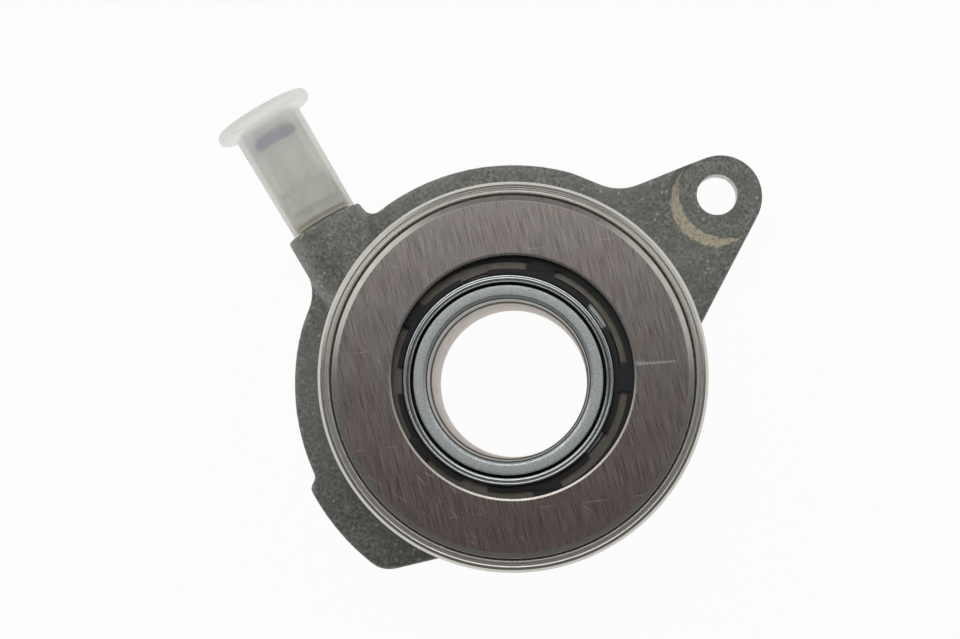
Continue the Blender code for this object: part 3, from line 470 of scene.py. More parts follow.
def ranged(tree, value, low, high, to_low=0.0, to_high=1.0):
    """Stretch a value from one range to another, and clamp it."""
    return wire(tree, "ShaderNodeMapRange", {
        "Value": value, "From Min": low, "From Max": high, "To Min": to_low, "To Max": to_high
    }).outputs["Result"]


def opaque(colour):
    return (*colour, 1.0) if isinstance(colour, tuple) else colour


def blended(tree, factor, first, second, mode="MIX"):
    inputs = {0: factor, 6: opaque(first), 7: opaque(second)}
    return wire(tree, "ShaderNodeMix", inputs, data_type="RGBA", blend_type=mode).outputs[2]


def stained(tree, tone, value, low, high, share, colour):
    """Lay a colour over a tone where a value runs from low to high, up to a share."""
    return blended(tree, ranged(tree, value, low, high, 0.0, share), tone, colour)


def maths(tree, operation, first, second=0.0):
    return wire(tree, "ShaderNodeMath", {0: first, 1: second}, operation=operation).outputs["Value"]


def vectors(tree, operation, first, second=(0.0, 0.0, 0.0), output="Vector"):
    return wire(tree, "ShaderNodeVectorMath", {0: first, 1: second}, operation=operation).outputs[output]


def split(tree, coords):
    return wire(tree, "ShaderNodeSeparateXYZ", {"Vector": coords}).outputs


def shaded(colour, factor):
    return tuple(channel * factor for channel in colour)


def surfaced(tree, shader, tone, rough, height, depth, strength=0.6):
    """Give a shader its colour, its roughness and its fine relief."""
    bump = wire(tree, "ShaderNodeBump", {"Height": height, "Distance": depth, "Strength": strength})
    feed(tree, shader, {"Base Color": tone, "Roughness": rough, "Normal": bump.outputs["Normal"]})


def mixed(tree, factor, first, second):
    """A mix of the shaders of two nodes."""
    return wire(tree, "ShaderNodeMixShader", {0: factor, 1: first.outputs[0], 2: second.outputs[0]})


def seen_by(tree, *kinds):
    """1 for rays of the kinds named, and 0 for the others."""
    rays = wire(tree, "ShaderNodeLightPath").outputs
    share = rays[kinds[0]]
    for kind in kinds[1:]:
        share = maths(tree, "MAXIMUM", share, rays[kind])
    return share


def thin_lines(tree, coords, angle, across, along, width):
    """A few long thin lines: the level lines of a drawn-out noise."""
    level = streaks(tree, coords, math.radians(angle), across, along, 0.0)
    off_line = maths(tree, "ABSOLUTE", maths(tree, "SUBTRACT", level, 0.5))
    return ranged(tree, off_line, 0.0, width, 1.0, 0.0)


def ground_steel(name, colour, angle):
    """Flat ground steel: straight grain, dark hairlines, a few scratches, and a painted reflection that
    makes its lower half warmer and a little darker.
    """
    look, tree, shader, coords = new_look(name, metallic=1.0)
    fine = streaks(tree, coords, angle, 4200.0, 160.0)
    broad = streaks(tree, coords, angle, 1100.0, 40.0)
    patch = ranged(tree, grain(tree, coords, 240.0, 1.0), 0.50, 0.62)
    hairline = thin_lines(tree, coords, math.degrees(angle) + 2.0, 1500.0, 70.0, 0.012)
    hairline = maths(tree, "MULTIPLY", maths(tree, "MULTIPLY", hairline, patch), 0.3)
    scratch = maths(
        tree, "MAXIMUM",
        thin_lines(tree, coords, 97.0, 160.0, 9.0, 0.006),
        thin_lines(tree, coords, 52.0, 130.0, 14.0, 0.005),
    )
    scratch = maths(tree, "MULTIPLY", scratch, patch)
    warm = (colour[0], colour[1] * 0.84, colour[2] * 0.82)
    # Painted reflection: towards the bottom the colour turns warmer and darker, for warm light mirrored from
    # below.
    base = blended(tree, ranged(tree, split(tree, coords)["Y"], -24.0 * MM, 10.0 * MM), warm, colour)
    base = stained(tree, base, grain(tree, coords, 130.0, 3.0), 0.40, 0.60, 0.45, warm)
    tone = blended(tree, ranged(tree, fine, 0.34, 0.66), (0.66, 0.66, 0.66), (1.34, 1.34, 1.34))
    tone = blended(tree, 1.0, base, tone, "MULTIPLY")
    tone = stained(tree, tone, broad, 0.36, 0.64, 0.35, shaded(colour, 1.15))
    tone = blended(tree, hairline, tone, shaded(colour, 0.40))
    tone = blended(tree, maths(tree, "MULTIPLY", scratch, 0.7), tone, (0.85, 0.84, 0.82))
    relief = maths(tree, "SUBTRACT", fine, scratch)
    surfaced(tree, shader, tone, ranged(tree, fine, 0.2, 0.8, 0.24, 0.32), relief, 0.006 * MM)
    return look


def turned_steel(name, colour, roughness, sparkle=0.0, lines=1.0):
    """Drawn or turned steel: rings of fine marks round its axis, and a soft mottle."""
    look, tree, shader, coords = new_look(name, metallic=1.0)
    x, y, z = split(tree, coords)
    squares = maths(tree, "ADD", maths(tree, "MULTIPLY", x, x), maths(tree, "MULTIPLY", y, y))
    rings = wire(tree, "ShaderNodeCombineXYZ", {
        "X": maths(tree, "MULTIPLY", maths(tree, "SQRT", squares), 5200.0),
        "Y": maths(tree, "MULTIPLY", z, 3800.0),
        "Z": maths(tree, "MULTIPLY", x, 60.0),
    })
    marks = grain(tree, rings.outputs["Vector"], 1.0, 2.0)
    mottle = grain(tree, coords, 420.0, 4.0)
    fine = grain(tree, coords, 3400.0, 3.0, 0.7)
    tone = stained(tree, shaded(colour, 0.90), marks, 0.3, 0.7, lines, shaded(colour, 1.08))
    tone = stained(tree, tone, mottle, 0.35, 0.65, 0.35, shaded(colour, 0.80))
    tone = stained(tree, tone, fine, 0.52, 0.66, sparkle, (0.95, 0.97, 0.97))
    tone = stained(tree, tone, fine, 0.48, 0.36, sparkle, shaded(colour, 0.45))
    rough = ranged(tree, mottle, 0.3, 0.7, roughness * 0.85, roughness * 1.15)
    relief = maths(tree, "MULTIPLY", fine, sparkle * 3.0)
    relief = maths(tree, "ADD", maths(tree, "MULTIPLY", marks, lines), relief)
    surfaced(tree, shader, tone, rough, relief, 0.004 * MM)
    return look


def worn_crescent(tree, coords):
    """Where the ear's slope is worn bright: a crescent round its seat that tapers to both ends."""
    centre = (*(on_circle(BOLT_DISTANCE, BOLT_ANGLE) + EAR_SHIFT), 0.0)
    middle = (*on_circle(1.0, CRESCENT_ANGLE), 0.0)
    flat = vectors(tree, "MULTIPLY", vectors(tree, "SUBTRACT", coords, centre), (1.0, 1.0, 0.0))
    reach = vectors(tree, "LENGTH", flat, output="Value")
    along = maths(tree, "DIVIDE", vectors(tree, "DOT_PRODUCT", flat, middle, "Value"), reach)
    half_width = ranged(tree, along, 0.20, 0.85, -0.3 * MM, CRESCENT_WIDTH / 2)
    rough = maths(tree, "MULTIPLY", maths(tree, "SUBTRACT", grain(tree, coords, 900.0, 3.0), 0.5), 1.4 * MM)
    beside = maths(tree, "ABSOLUTE", maths(tree, "SUBTRACT", reach, CRESCENT_R))
    outside = maths(tree, "ADD", maths(tree, "SUBTRACT", beside, half_width), rough)
    on_top = ranged(tree, split(tree, coords)["Z"], 2.0 * MM, 3.0 * MM)
    return maths(tree, "MULTIPLY", ranged(tree, outside, 0.0, 0.3 * MM, 1.0, 0.0), on_top)


def cast_skin(name, colour):
    """The die casting's skin: a sandy mottle with pale specks and darker, oily patches."""
    look, tree, shader, coords = new_look(name, metallic=0.4)
    sand = grain(tree, coords, 1500.0, 5.0, 0.75)
    patches = grain(tree, coords, 330.0, 4.0, 0.65)
    specks = wire(tree, "ShaderNodeTexVoronoi", {"Vector": coords, "Scale": 620.0}).outputs["Distance"]
    tone = blended(tree, ranged(tree, sand, 0.36, 0.64), shaded(colour, 0.36), shaded(colour, 1.66))
    tone = stained(tree, tone, patches, 0.42, 0.58, 0.5, shaded(colour, 0.62))
    tone = stained(tree, tone, grain(tree, coords, 60.0, 2.0), 0.4, 0.65, 0.35, shaded(colour, 1.25))
    pale = ranged(tree, specks, 0.13, 0.24, 1.0, 0.0)
    pale = maths(tree, "MULTIPLY", pale, ranged(tree, patches, 0.46, 0.56))
    tone = blended(tree, maths(tree, "MULTIPLY", pale, 0.7), tone, shaded(colour, 2.3))
    bright = blended(tree, ranged(tree, sand, 0.38, 0.50), (0.42, 0.37, 0.28), (0.86, 0.76, 0.58))
    tone = blended(tree, maths(tree, "MULTIPLY", worn_crescent(tree, coords), 0.85), tone, bright)
    relief = maths(tree, "ADD", sand, maths(tree, "MULTIPLY", patches, 0.8))
    surfaced(tree, shader, tone, ranged(tree, sand, 0.3, 0.7, 0.46, 0.66), relief, 0.05 * MM, 0.7)
    return look


def machined_aluminium(name, colour):
    """Bright tool-cut aluminium with fine turning marks and a little dirt."""
    look, tree, shader, coords = new_look(name, metallic=0.85)
    cuts = streaks(tree, coords, math.radians(30.0), 4200.0, 260.0)
    dirt = grain(tree, coords, 900.0, 5.0, 0.7)
    tone = blended(tree, ranged(tree, cuts, 0.3, 0.7), shaded(colour, 0.86), shaded(colour, 1.12))
    tone = stained(tree, tone, dirt, 0.52, 0.64, 0.75, shaded(colour, 0.45))
    rough = ranged(tree, dirt, 0.3, 0.7, 0.34, 0.58)
    surfaced(tree, shader, tone, rough, maths(tree, "ADD", cuts, dirt), 0.012 * MM)
    return look


def moulded(name, colour, roughness, depth=0.012):
    """Moulded plastic or rubber: a fine even grain and faint handling marks."""
    look, tree, shader, coords = new_look(name)
    shader.inputs["IOR"].default_value = 1.48
    fine = grain(tree, coords, 2600.0, 4.0, 0.65)
    marks = grain(tree, coords, 260.0, 3.0)
    tone = blended(tree, ranged(tree, fine, 0.35, 0.65), shaded(colour, 0.82), shaded(colour, 1.2))
    tone = stained(tree, tone, marks, 0.5, 0.7, 0.3, shaded(colour, 1.7))
    rough = ranged(tree, marks, 0.3, 0.7, roughness * 0.85, roughness * 1.2)
    surfaced(tree, shader, tone, rough, fine, depth * MM, 0.5)
    return look


def milky_plastic(name, colour):
    """Soft translucent plastic: cloudy, with what is inside it showing dimly."""
    look, tree, shader, coords = new_look(name)
    shader.inputs["IOR"].default_value = 1.35
    cloud = grain(tree, coords, 170.0, 3.0)
    tone = blended(tree, ranged(tree, cloud, 0.35, 0.65), shaded(colour, 0.96), colour)
    surfaced(tree, shader, tone, 0.30, grain(tree, coords, 900.0, 2.0), 0.01 * MM, 0.4)
    see_through = wire(tree, "ShaderNodeBsdfTransparent", {"Color": (0.945, 0.942, 0.925, 1.0)})
    skin = mixed(tree, 0.8, shader, wire(tree, "ShaderNodeBsdfTranslucent", {"Color": tone}))
    whole = mixed(tree, ranged(tree, cloud, 0.35, 0.65, 0.48, 0.56), skin, see_through)
    feed(tree, tree.nodes["Material Output"], {"Surface": whole.outputs[0]})
    return look


LOOKS = {}


def make_looks():
    """Make every finish once, from the user's colours."""
    chosen = settings()
    LOOKS.update({
        "face": ground_steel("ground_steel", tuple(chosen.face_colour), chosen.grain_angle),
        "shell": turned_steel("rolled_shell_steel", tuple(chosen.shell_colour), 0.30, 0.0, 0.5),
        "race": turned_steel("race_steel", (0.22, 0.20, 0.17), 0.42),
        # Painted shade: a dark steel for the band inside the sleeve's mouth and for the zinc ring's groove.
        "mouth": turned_steel("painted_shade_steel", (0.15, 0.155, 0.125), 0.34),
        # Painted light: a pinkish steel for the warm light that the sleeve's bore wall reflects.
        "sleeve_bore": turned_steel("painted_light_bore_steel", (0.60, 0.53, 0.48), 0.50),
        # Painted shade: near black for the dark gap between the sleeve's lip and the zinc ring.
        "gap_shade": moulded("painted_gap_shade", (0.012, 0.012, 0.012), 0.60),
        "zinc": turned_steel("bright_zinc", tuple(chosen.zinc_colour), 0.20, 0.0, 0.25),
        "sleeve": turned_steel("sleeve_steel", tuple(chosen.sleeve_colour), 0.38, 0.5),
        "spring": turned_steel("spring_steel", (0.34, 0.34, 0.33), 0.32),
        "wave": turned_steel("wave_washer_steel", (0.90, 0.90, 0.88), 0.35, 0.0, 0.3),
        "ball": turned_steel("ball_steel", (0.74, 0.74, 0.74), 0.10),
        "casting": cast_skin("cast_aluminium", tuple(chosen.casting_colour)),
        "machined": machined_aluminium("machined_aluminium", (0.62, 0.60, 0.55)),
        "fitting": turned_steel("plated_fitting", (0.72, 0.74, 0.72), 0.45),
        "washer": turned_steel("washer_metal", (0.66, 0.55, 0.38), 0.32),
        "black_plastic": moulded("black_plastic", (0.020, 0.020, 0.023), 0.42),
        "black_rubber": moulded("black_rubber", (0.022, 0.022, 0.021), 0.62, 0.02),
        "blue_rubber": moulded("blue_rubber", (0.04, 0.075, 0.30), 0.45),
        "white_plastic": moulded("white_plastic", (0.72, 0.70, 0.64), 0.45),
        "cap": milky_plastic("milky_plastic", tuple(chosen.cap_colour)),
    })


def finish_part(piece, look, chosen):
    """Give the faces that a test of radius and height chooses another finish."""
    piece.data.materials.append(LOOKS[look])
    for face in piece.data.polygons:
        if chosen(math.hypot(face.center.x, face.center.y), face.center.z):
            face.material_index = len(piece.data.materials) - 1


def dress(node, look):
    """Give a CAD node that is shown as it is its finish."""
    shown = frame["nodes"][node]
    for slot in shown.material_slots:
        slot.material = LOOKS[look]
    shown.data.shade_smooth()


class MakeGuideSleeve(bpy.types.Operator):
    """Make the drawn sleeve that the piston slides on, with its turned-out lip"""

    bl_idname = "release_unit.guide_sleeve"
    bl_label = "Guide sleeve"

    def execute(self, context):
        size = measured("guide_sleeve", SHAFT)
        mouth_r = size.bore + SLEEVE_MOUTH_STEP
        step = size.high - SLEEVE_STEP_DEPTH
        slope_end = step - 0.4 * MM
        lip_under = size.high - SLEEVE_LIP_SHEET
        foot_top = size.low + SLEEVE_FOOT_SHEET
        edge = 0.12 * MM
        piece = turned("guide_sleeve_tube", [
            (mouth_r + 0.10 * MM, size.high, 0.9 * MM),
            (SLEEVE_LIP_R, size.high, 0.25 * MM),
            (SLEEVE_LIP_R, lip_under, edge),
            (mouth_r + SLEEVE_WALL, lip_under, 0.3 * MM),
            (mouth_r + SLEEVE_WALL, step, edge),
            (size.bore + SLEEVE_WALL, slope_end, edge),
            (size.bore + SLEEVE_WALL, foot_top, 0.3 * MM),
            (size.outer, foot_top, edge),
            (size.outer, size.low, edge),
            (size.bore, size.low, 0.4 * MM),
            (size.bore, slope_end, edge),
            (mouth_r - 0.05 * MM, step + 0.3 * MM, edge),
        ], SHAFT, "sleeve", "housing", "guide_sleeve")
        lip_side = SLEEVE_LIP_R - 0.1 * MM
        # Painted shade: the steep band inside the mouth is given dark steel, for the shade it lies in and
        # the dark room it mirrors.
        finish_part(piece, "mouth", lambda r, z: r < mouth_r + 0.42 * MM and z > step - 0.5 * MM)
        # Painted light: the bore is given a pinkish steel for the warm light its wall reflects.
        finish_part(piece, "sleeve_bore", lambda r, z: r < size.bore + 0.1 * MM and z < step - 0.3 * MM)
        # Painted shade: the lip's outer edge is made near black, for the shade in the gap beside the zinc
        # ring.
        finish_part(piece, "gap_shade", lambda r, z: r > lip_side and step < z < size.high - 0.2 * MM)
        dress("foot_seal", "black_rubber")
        return {"FINISHED"}


class MakeCentringRings(bpy.types.Operator):
    """Make the slotted plastic ring and the bright zinc ring that holds it"""

    bl_idname = "release_unit.centring_rings"
    bl_label = "Centring and retaining rings"

    def execute(self, context):
        size = measured("centring_ring", SHAFT)
        outlines = [arc(size.outer, 0.0, math.tau)[:-1], slotted_edge(size.bore)]
        blank = linked("slotted_ring_blank", plate_mesh("slotted_ring", outlines, size.high - size.low))
        soft = blank.modifiers.new("Soft edges", "BEVEL")
        soft.width = 0.14 * MM
        soft.segments = 2
        soft.limit_method = "ANGLE"
        soft.angle_limit = math.radians(50.0)
        finished_piece(
            "slotted_ring", taken_mesh("slotted_ring", blank),
            SHAFT @ Matrix.Translation((0.0, 0.0, (size.high + size.low) / 2)),
            "black_plastic", "piston", "centring_ring",
        )
        self.retaining_ring()
        return {"FINISHED"}

    def retaining_ring(self):
        size = measured("retaining_ring", SHAFT)
        inner, top = ZINC_SKIRT_R, size.high
        foot_top = size.low + ZINC_SHEET
        groove = inner + 0.58 * MM
        piece = turned("zinc_ring", [
            (size.bore, foot_top, 0.1 * MM),
            (inner, foot_top, 0.15 * MM),
            (inner, top - 0.35 * MM, 0.08 * MM),
            (inner + 0.20 * MM, top - 0.18 * MM, 0.10 * MM),
            (groove, top - 0.62 * MM, 0.16 * MM),
            (inner + 0.92 * MM, top, 0.22 * MM),
            (size.outer - 0.32 * MM, top, 0.22 * MM),
            (size.outer, top - 0.52 * MM, 0.25 * MM),
            (size.outer, ZINC_SEAT, 0.12 * MM),
            (inner + ZINC_SHEET, ZINC_SEAT, 0.05 * MM),
            (inner + ZINC_SHEET, size.low, 0.15 * MM),
            (size.bore, size.low, 0.1 * MM),
        ], SHAFT, "zinc", "piston", "retaining_ring")
        # Painted shade: the ring's inner skirt and foot are made near black, for the shade deep in the gap
        # round the sleeve's lip.
        finish_part(piece, "gap_shade", lambda r, z: r < inner + 0.02 * MM)
        # Painted shade: the groove is given the same dark steel, for the shade in it.
        finish_part(piece, "mouth", lambda r, z: abs(r - groove) < 0.15 * MM and z > top - 0.7 * MM)


def slotted_edge(bore):
    """The plastic ring's inner edge, which runs out through each mouth and round its slot."""
    pitch = math.tau / SLOT_COUNT
    mouth = SLOT_MOUTH_ANGLE / 2
    inner = bore + SLOT_INNER_BAND
    outer = inner + SLOT_WIDTH
    middle_r = (inner + outer) / 2
    end_r = SLOT_WIDTH / 2
    end = SLOT_ANGLE / 2 - end_r / middle_r
    turn = math.radians(15.0)
    points = []
    for i in range(SLOT_COUNT):
        middle = SLOT_FIRST_ANGLE + i * pitch
        start, stop = middle - end, middle + end
        points += arc(bore, middle - pitch + mouth, middle - mouth)
        points += arc(inner, middle - mouth, start)
        points += arc(end_r, start - math.pi, start - math.tau, on_circle(middle_r, start), turn)[1:-1]
        points += arc(outer, start, stop)
        points += arc(end_r, stop, stop + math.pi, on_circle(middle_r, stop), turn)[1:-1]
        points += arc(inner, stop, middle + mouth)
    return points


class MakeBearing(bpy.types.Operator):
    """Make the release bearing: its rings, shell, seal, cage and balls"""

    bl_idname = "release_unit.bearing"
    bl_label = "Release bearing"

    def execute(self, context):
        self.outer_ring()
        self.shell()
        self.inner_ring()
        self.balls()
        dress("ball_cage", "black_plastic")
        seal = measured("bearing_seal", BEARING)
        turned(
            "bearing_dust_seal", ring(seal.bore, seal.outer, seal.high, seal.low, 0.15 * MM, 0.15 * MM),
            BEARING, "black_rubber", "bearing_outer", "bearing_seal",
        )
        return {"FINISHED"}

    def outer_ring(self):
        size = measured("bearing_outer_ring", BEARING)
        top = size.high
        ledge = top - FACE_LEDGE
        under = top - FACE_THICKNESS
        groove = round_section(BALL_MIDDLE, RACE_R, -25.0, 10.0, 13)
        piece = turned("bearing_face_ring", [
            (size.bore, top - 0.11 * MM, 0.04 * MM),
            (size.bore + 0.42 * MM, top, 0.10 * MM),
            (FACE_R, top, 0.12 * MM),
            (FACE_R + 1.01 * MM, top - 0.46 * MM, 0.16 * MM),
            (FACE_R + 1.09 * MM, ledge, 0.25 * MM),
            (size.outer, ledge, 0.3 * MM),
            (size.outer, size.low, 0.3 * MM),
            (groove[0][0], size.low, 0.1 * MM),
            *groove,
            (groove[-1][0] - 0.3 * MM, under, 0.0),
            (size.bore, under, 0.3 * MM),
        ], BEARING, "face", "bearing_outer", "bearing_outer_ring")
        chamfers = (size.bore + 0.40 * MM, FACE_R - 0.03 * MM)
        finish_part(
            piece, "shell", lambda r, z: r > chamfers[1] or r < chamfers[0] and z > top - 0.13 * MM
        )

    def shell(self):
        size = measured("bearing_shell", BEARING)
        lip, top, sheet = SHELL_LIP_R, size.high, SHELL_SHEET
        turned("bearing_rim_shell", [
            (lip, top - 0.30 * MM, 0.12 * MM),
            (lip + 0.20 * MM, top, 0.15 * MM),
            (lip + 0.72 * MM, top, 0.22 * MM),
            (lip + 1.08 * MM, top - 0.26 * MM, 0.22 * MM),
            (lip + 1.40 * MM, top - 0.16 * MM, 0.20 * MM),
            (size.outer - 0.55 * MM, top - 0.40 * MM, 0.25 * MM),
            (size.outer, top - 1.15 * MM, 0.4 * MM),
            (size.outer, size.low, 0.9 * MM),
            (SHELL_FOOT_R, size.low, 0.2 * MM),
            (SHELL_FOOT_R, size.low + sheet, 0.1 * MM),
            (size.outer - sheet, size.low + sheet, 0.3 * MM),
            (size.outer - sheet, top - 0.85 * MM, 0.2 * MM),
            (lip, top - 0.8 * MM, 0.1 * MM),
        ], BEARING, "shell", "bearing_outer", "bearing_shell")

    def inner_ring(self):
        size = measured("bearing_inner_ring", BEARING)
        bore = size.bore + INNER_BORE_STEP
        wall_r = BALL_CIRCLE_R - RACE_R
        under = size.high - INNER_RING_SHEET
        turned("bearing_inner_race", [
            (bore, size.high, 0.2 * MM),
            (wall_r, size.high, 1.0 * MM),
            *round_section(BALL_MIDDLE, RACE_R, 180.0, 10.5, 11),
            *round_section(BALL_MIDDLE, RACE_R + INNER_RING_SHEET, 285.0, -10.5, 11),
            (wall_r - INNER_RING_SHEET, under, 0.4 * MM),
            (bore, under, 0.2 * MM),
        ], BEARING, "race", "bearing_inner", "bearing_inner_ring")

    def balls(self):
        for node in sorted(node for node in frame["nodes"] if node.startswith(("ball_0", "ball_1"))):
            low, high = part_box(node)
            shape = bmesh.new()
            bmesh.ops.create_uvsphere(shape, u_segments=40, v_segments=20, radius=(high.z - low.z) / 2)
            mesh = bpy.data.meshes.new("bearing_" + node)
            shape.to_mesh(mesh)
            shape.free()
            place = Matrix.Translation((low + high) / 2)
            finished_piece("bearing_" + node, mesh, place, "ball", "cage_set", node)


class MakeSpringGroup(bpy.types.Operator):
    """Make the spring cup, the wave washer, the preload spring and the dust boot"""

    bl_idname = "release_unit.spring_group"
    bl_label = "Spring, cup and boot"

    def execute(self, context):
        self.cup()
        self.wave_washer()
        self.boot()
        self.spring()
        return {"FINISHED"}

    def cup(self):
        size = measured("spring_cup", SHAFT)
        turned("spring_seat_cup", [
            (size.bore, size.high, 0.2 * MM),
            (CUP_R, size.high, 0.9 * MM),
            (CUP_R, size.low + CUP_SHEET, 0.4 * MM),
            (size.outer, size.low + CUP_SHEET, 0.3 * MM),
            (size.outer, size.low, 0.3 * MM),
            (CUP_R - CUP_SHEET, size.low, 0.5 * MM),
            (CUP_R - CUP_SHEET, size.high - CUP_SHEET, 0.4 * MM),
            (size.bore, size.high - CUP_SHEET, 0.2 * MM),
        ], SHAFT, "zinc", "piston", "spring_cup")

    def wave_washer(self):
        place = standing("wave_washer")
        size = measured("wave_washer", place)
        rise = size.high - size.low - WAVE_SHEET
        edge = 0.1 * MM
        corners = ring(size.bore, size.outer, size.low + WAVE_SHEET, size.low, edge, edge)
        mesh = spun_mesh("wavy_washer", softened(corners), settings().round_steps)
        for vertex in mesh.vertices:
            angle = math.atan2(vertex.co.y, vertex.co.x)
            vertex.co.z += rise * (1.0 - math.cos(WAVE_COUNT * angle)) / 2
        finished_piece("wavy_washer", mesh, place, "wave", "wave_washer", "wave_washer")

    def boot(self):
        size = measured("dust_boot", SHAFT)
        low, high = size.low + BOOT_BEAD, size.high - BOOT_BEAD
        count = BOOT_FOLDS * BOOT_FOLD_POINTS
        outer = []
        for share in (i / count for i in range(count + 1)):
            wave = (1.0 - math.cos(math.tau * BOOT_FOLDS * share)) / 2
            outer.append((BOOT_VALLEY_R + (size.outer - BOOT_VALLEY_R) * wave, high - (high - low) * share))
        inner = [(radius - BOOT_WALL, height) for radius, height in outer]
        top_in = measured("spring_cup", SHAFT).outer + 0.3 * MM
        bead = BOOT_VALLEY_R + 0.8 * MM
        bead_end = BOOT_VALLEY_R + 0.6 * MM
        mesh = spun_mesh("dust_bellows", [
            (top_in, size.high), (bead_end, size.high), (bead, size.high - 0.3 * MM),
            (bead, high + 0.2 * MM), *outer, (bead, low - 0.2 * MM), (bead, size.low + 0.3 * MM),
            (bead_end, size.low), (BOOT_FOOT_R, size.low), (BOOT_FOOT_R, low - 0.3 * MM),
            *inner[::-1][3:-3], (top_in, high - 0.8 * MM),
        ], settings().round_steps)
        boot = finished_piece(
            "dust_bellows", mesh, SHAFT, "black_rubber", "housing", "dust_boot"
        )
        self.follow_piston(boot, size)

    def spring(self):
        size = measured("preload_spring", SHAFT)
        low = size.low + SPRING_WIRE_R
        closed_rise = 2 * SPRING_WIRE_R + SPRING_CLOSED_GAP
        active = SPRING_TURNS - 2.0
        climb = size.high - SPRING_WIRE_R - low - 2 * closed_rise
        curve = bpy.data.curves.new("coil", "CURVE")
        curve.dimensions = "3D"
        curve.bevel_depth = SPRING_WIRE_R
        curve.bevel_resolution = 4
        curve.use_fill_caps = True
        spline = curve.splines.new("POLY")
        spline.points.add(int(SPRING_TURNS * SPRING_TURN_POINTS))
        for i, point in enumerate(spline.points):
            turn = i / SPRING_TURN_POINTS
            rise = min(turn, 1.0) * closed_rise
            rise += min(max(turn - 1.0, 0.0), active) / active * climb
            rise += max(turn - 1.0 - active, 0.0) * closed_rise
            x, y = on_circle(size.outer - SPRING_WIRE_R, turn * math.tau)
            point.co = (x, y, low + rise, 1.0)
        mesh = taken_mesh("coil_spring", linked("coil", curve))
        coil = finished_piece(
            "coil_spring", mesh, SHAFT, "spring", "housing", "preload_spring"
        )
        self.follow_piston(coil, size)

    def follow_piston(self, piece, size):
        """Give a soft piece a mesh of its own."""
        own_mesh(piece)


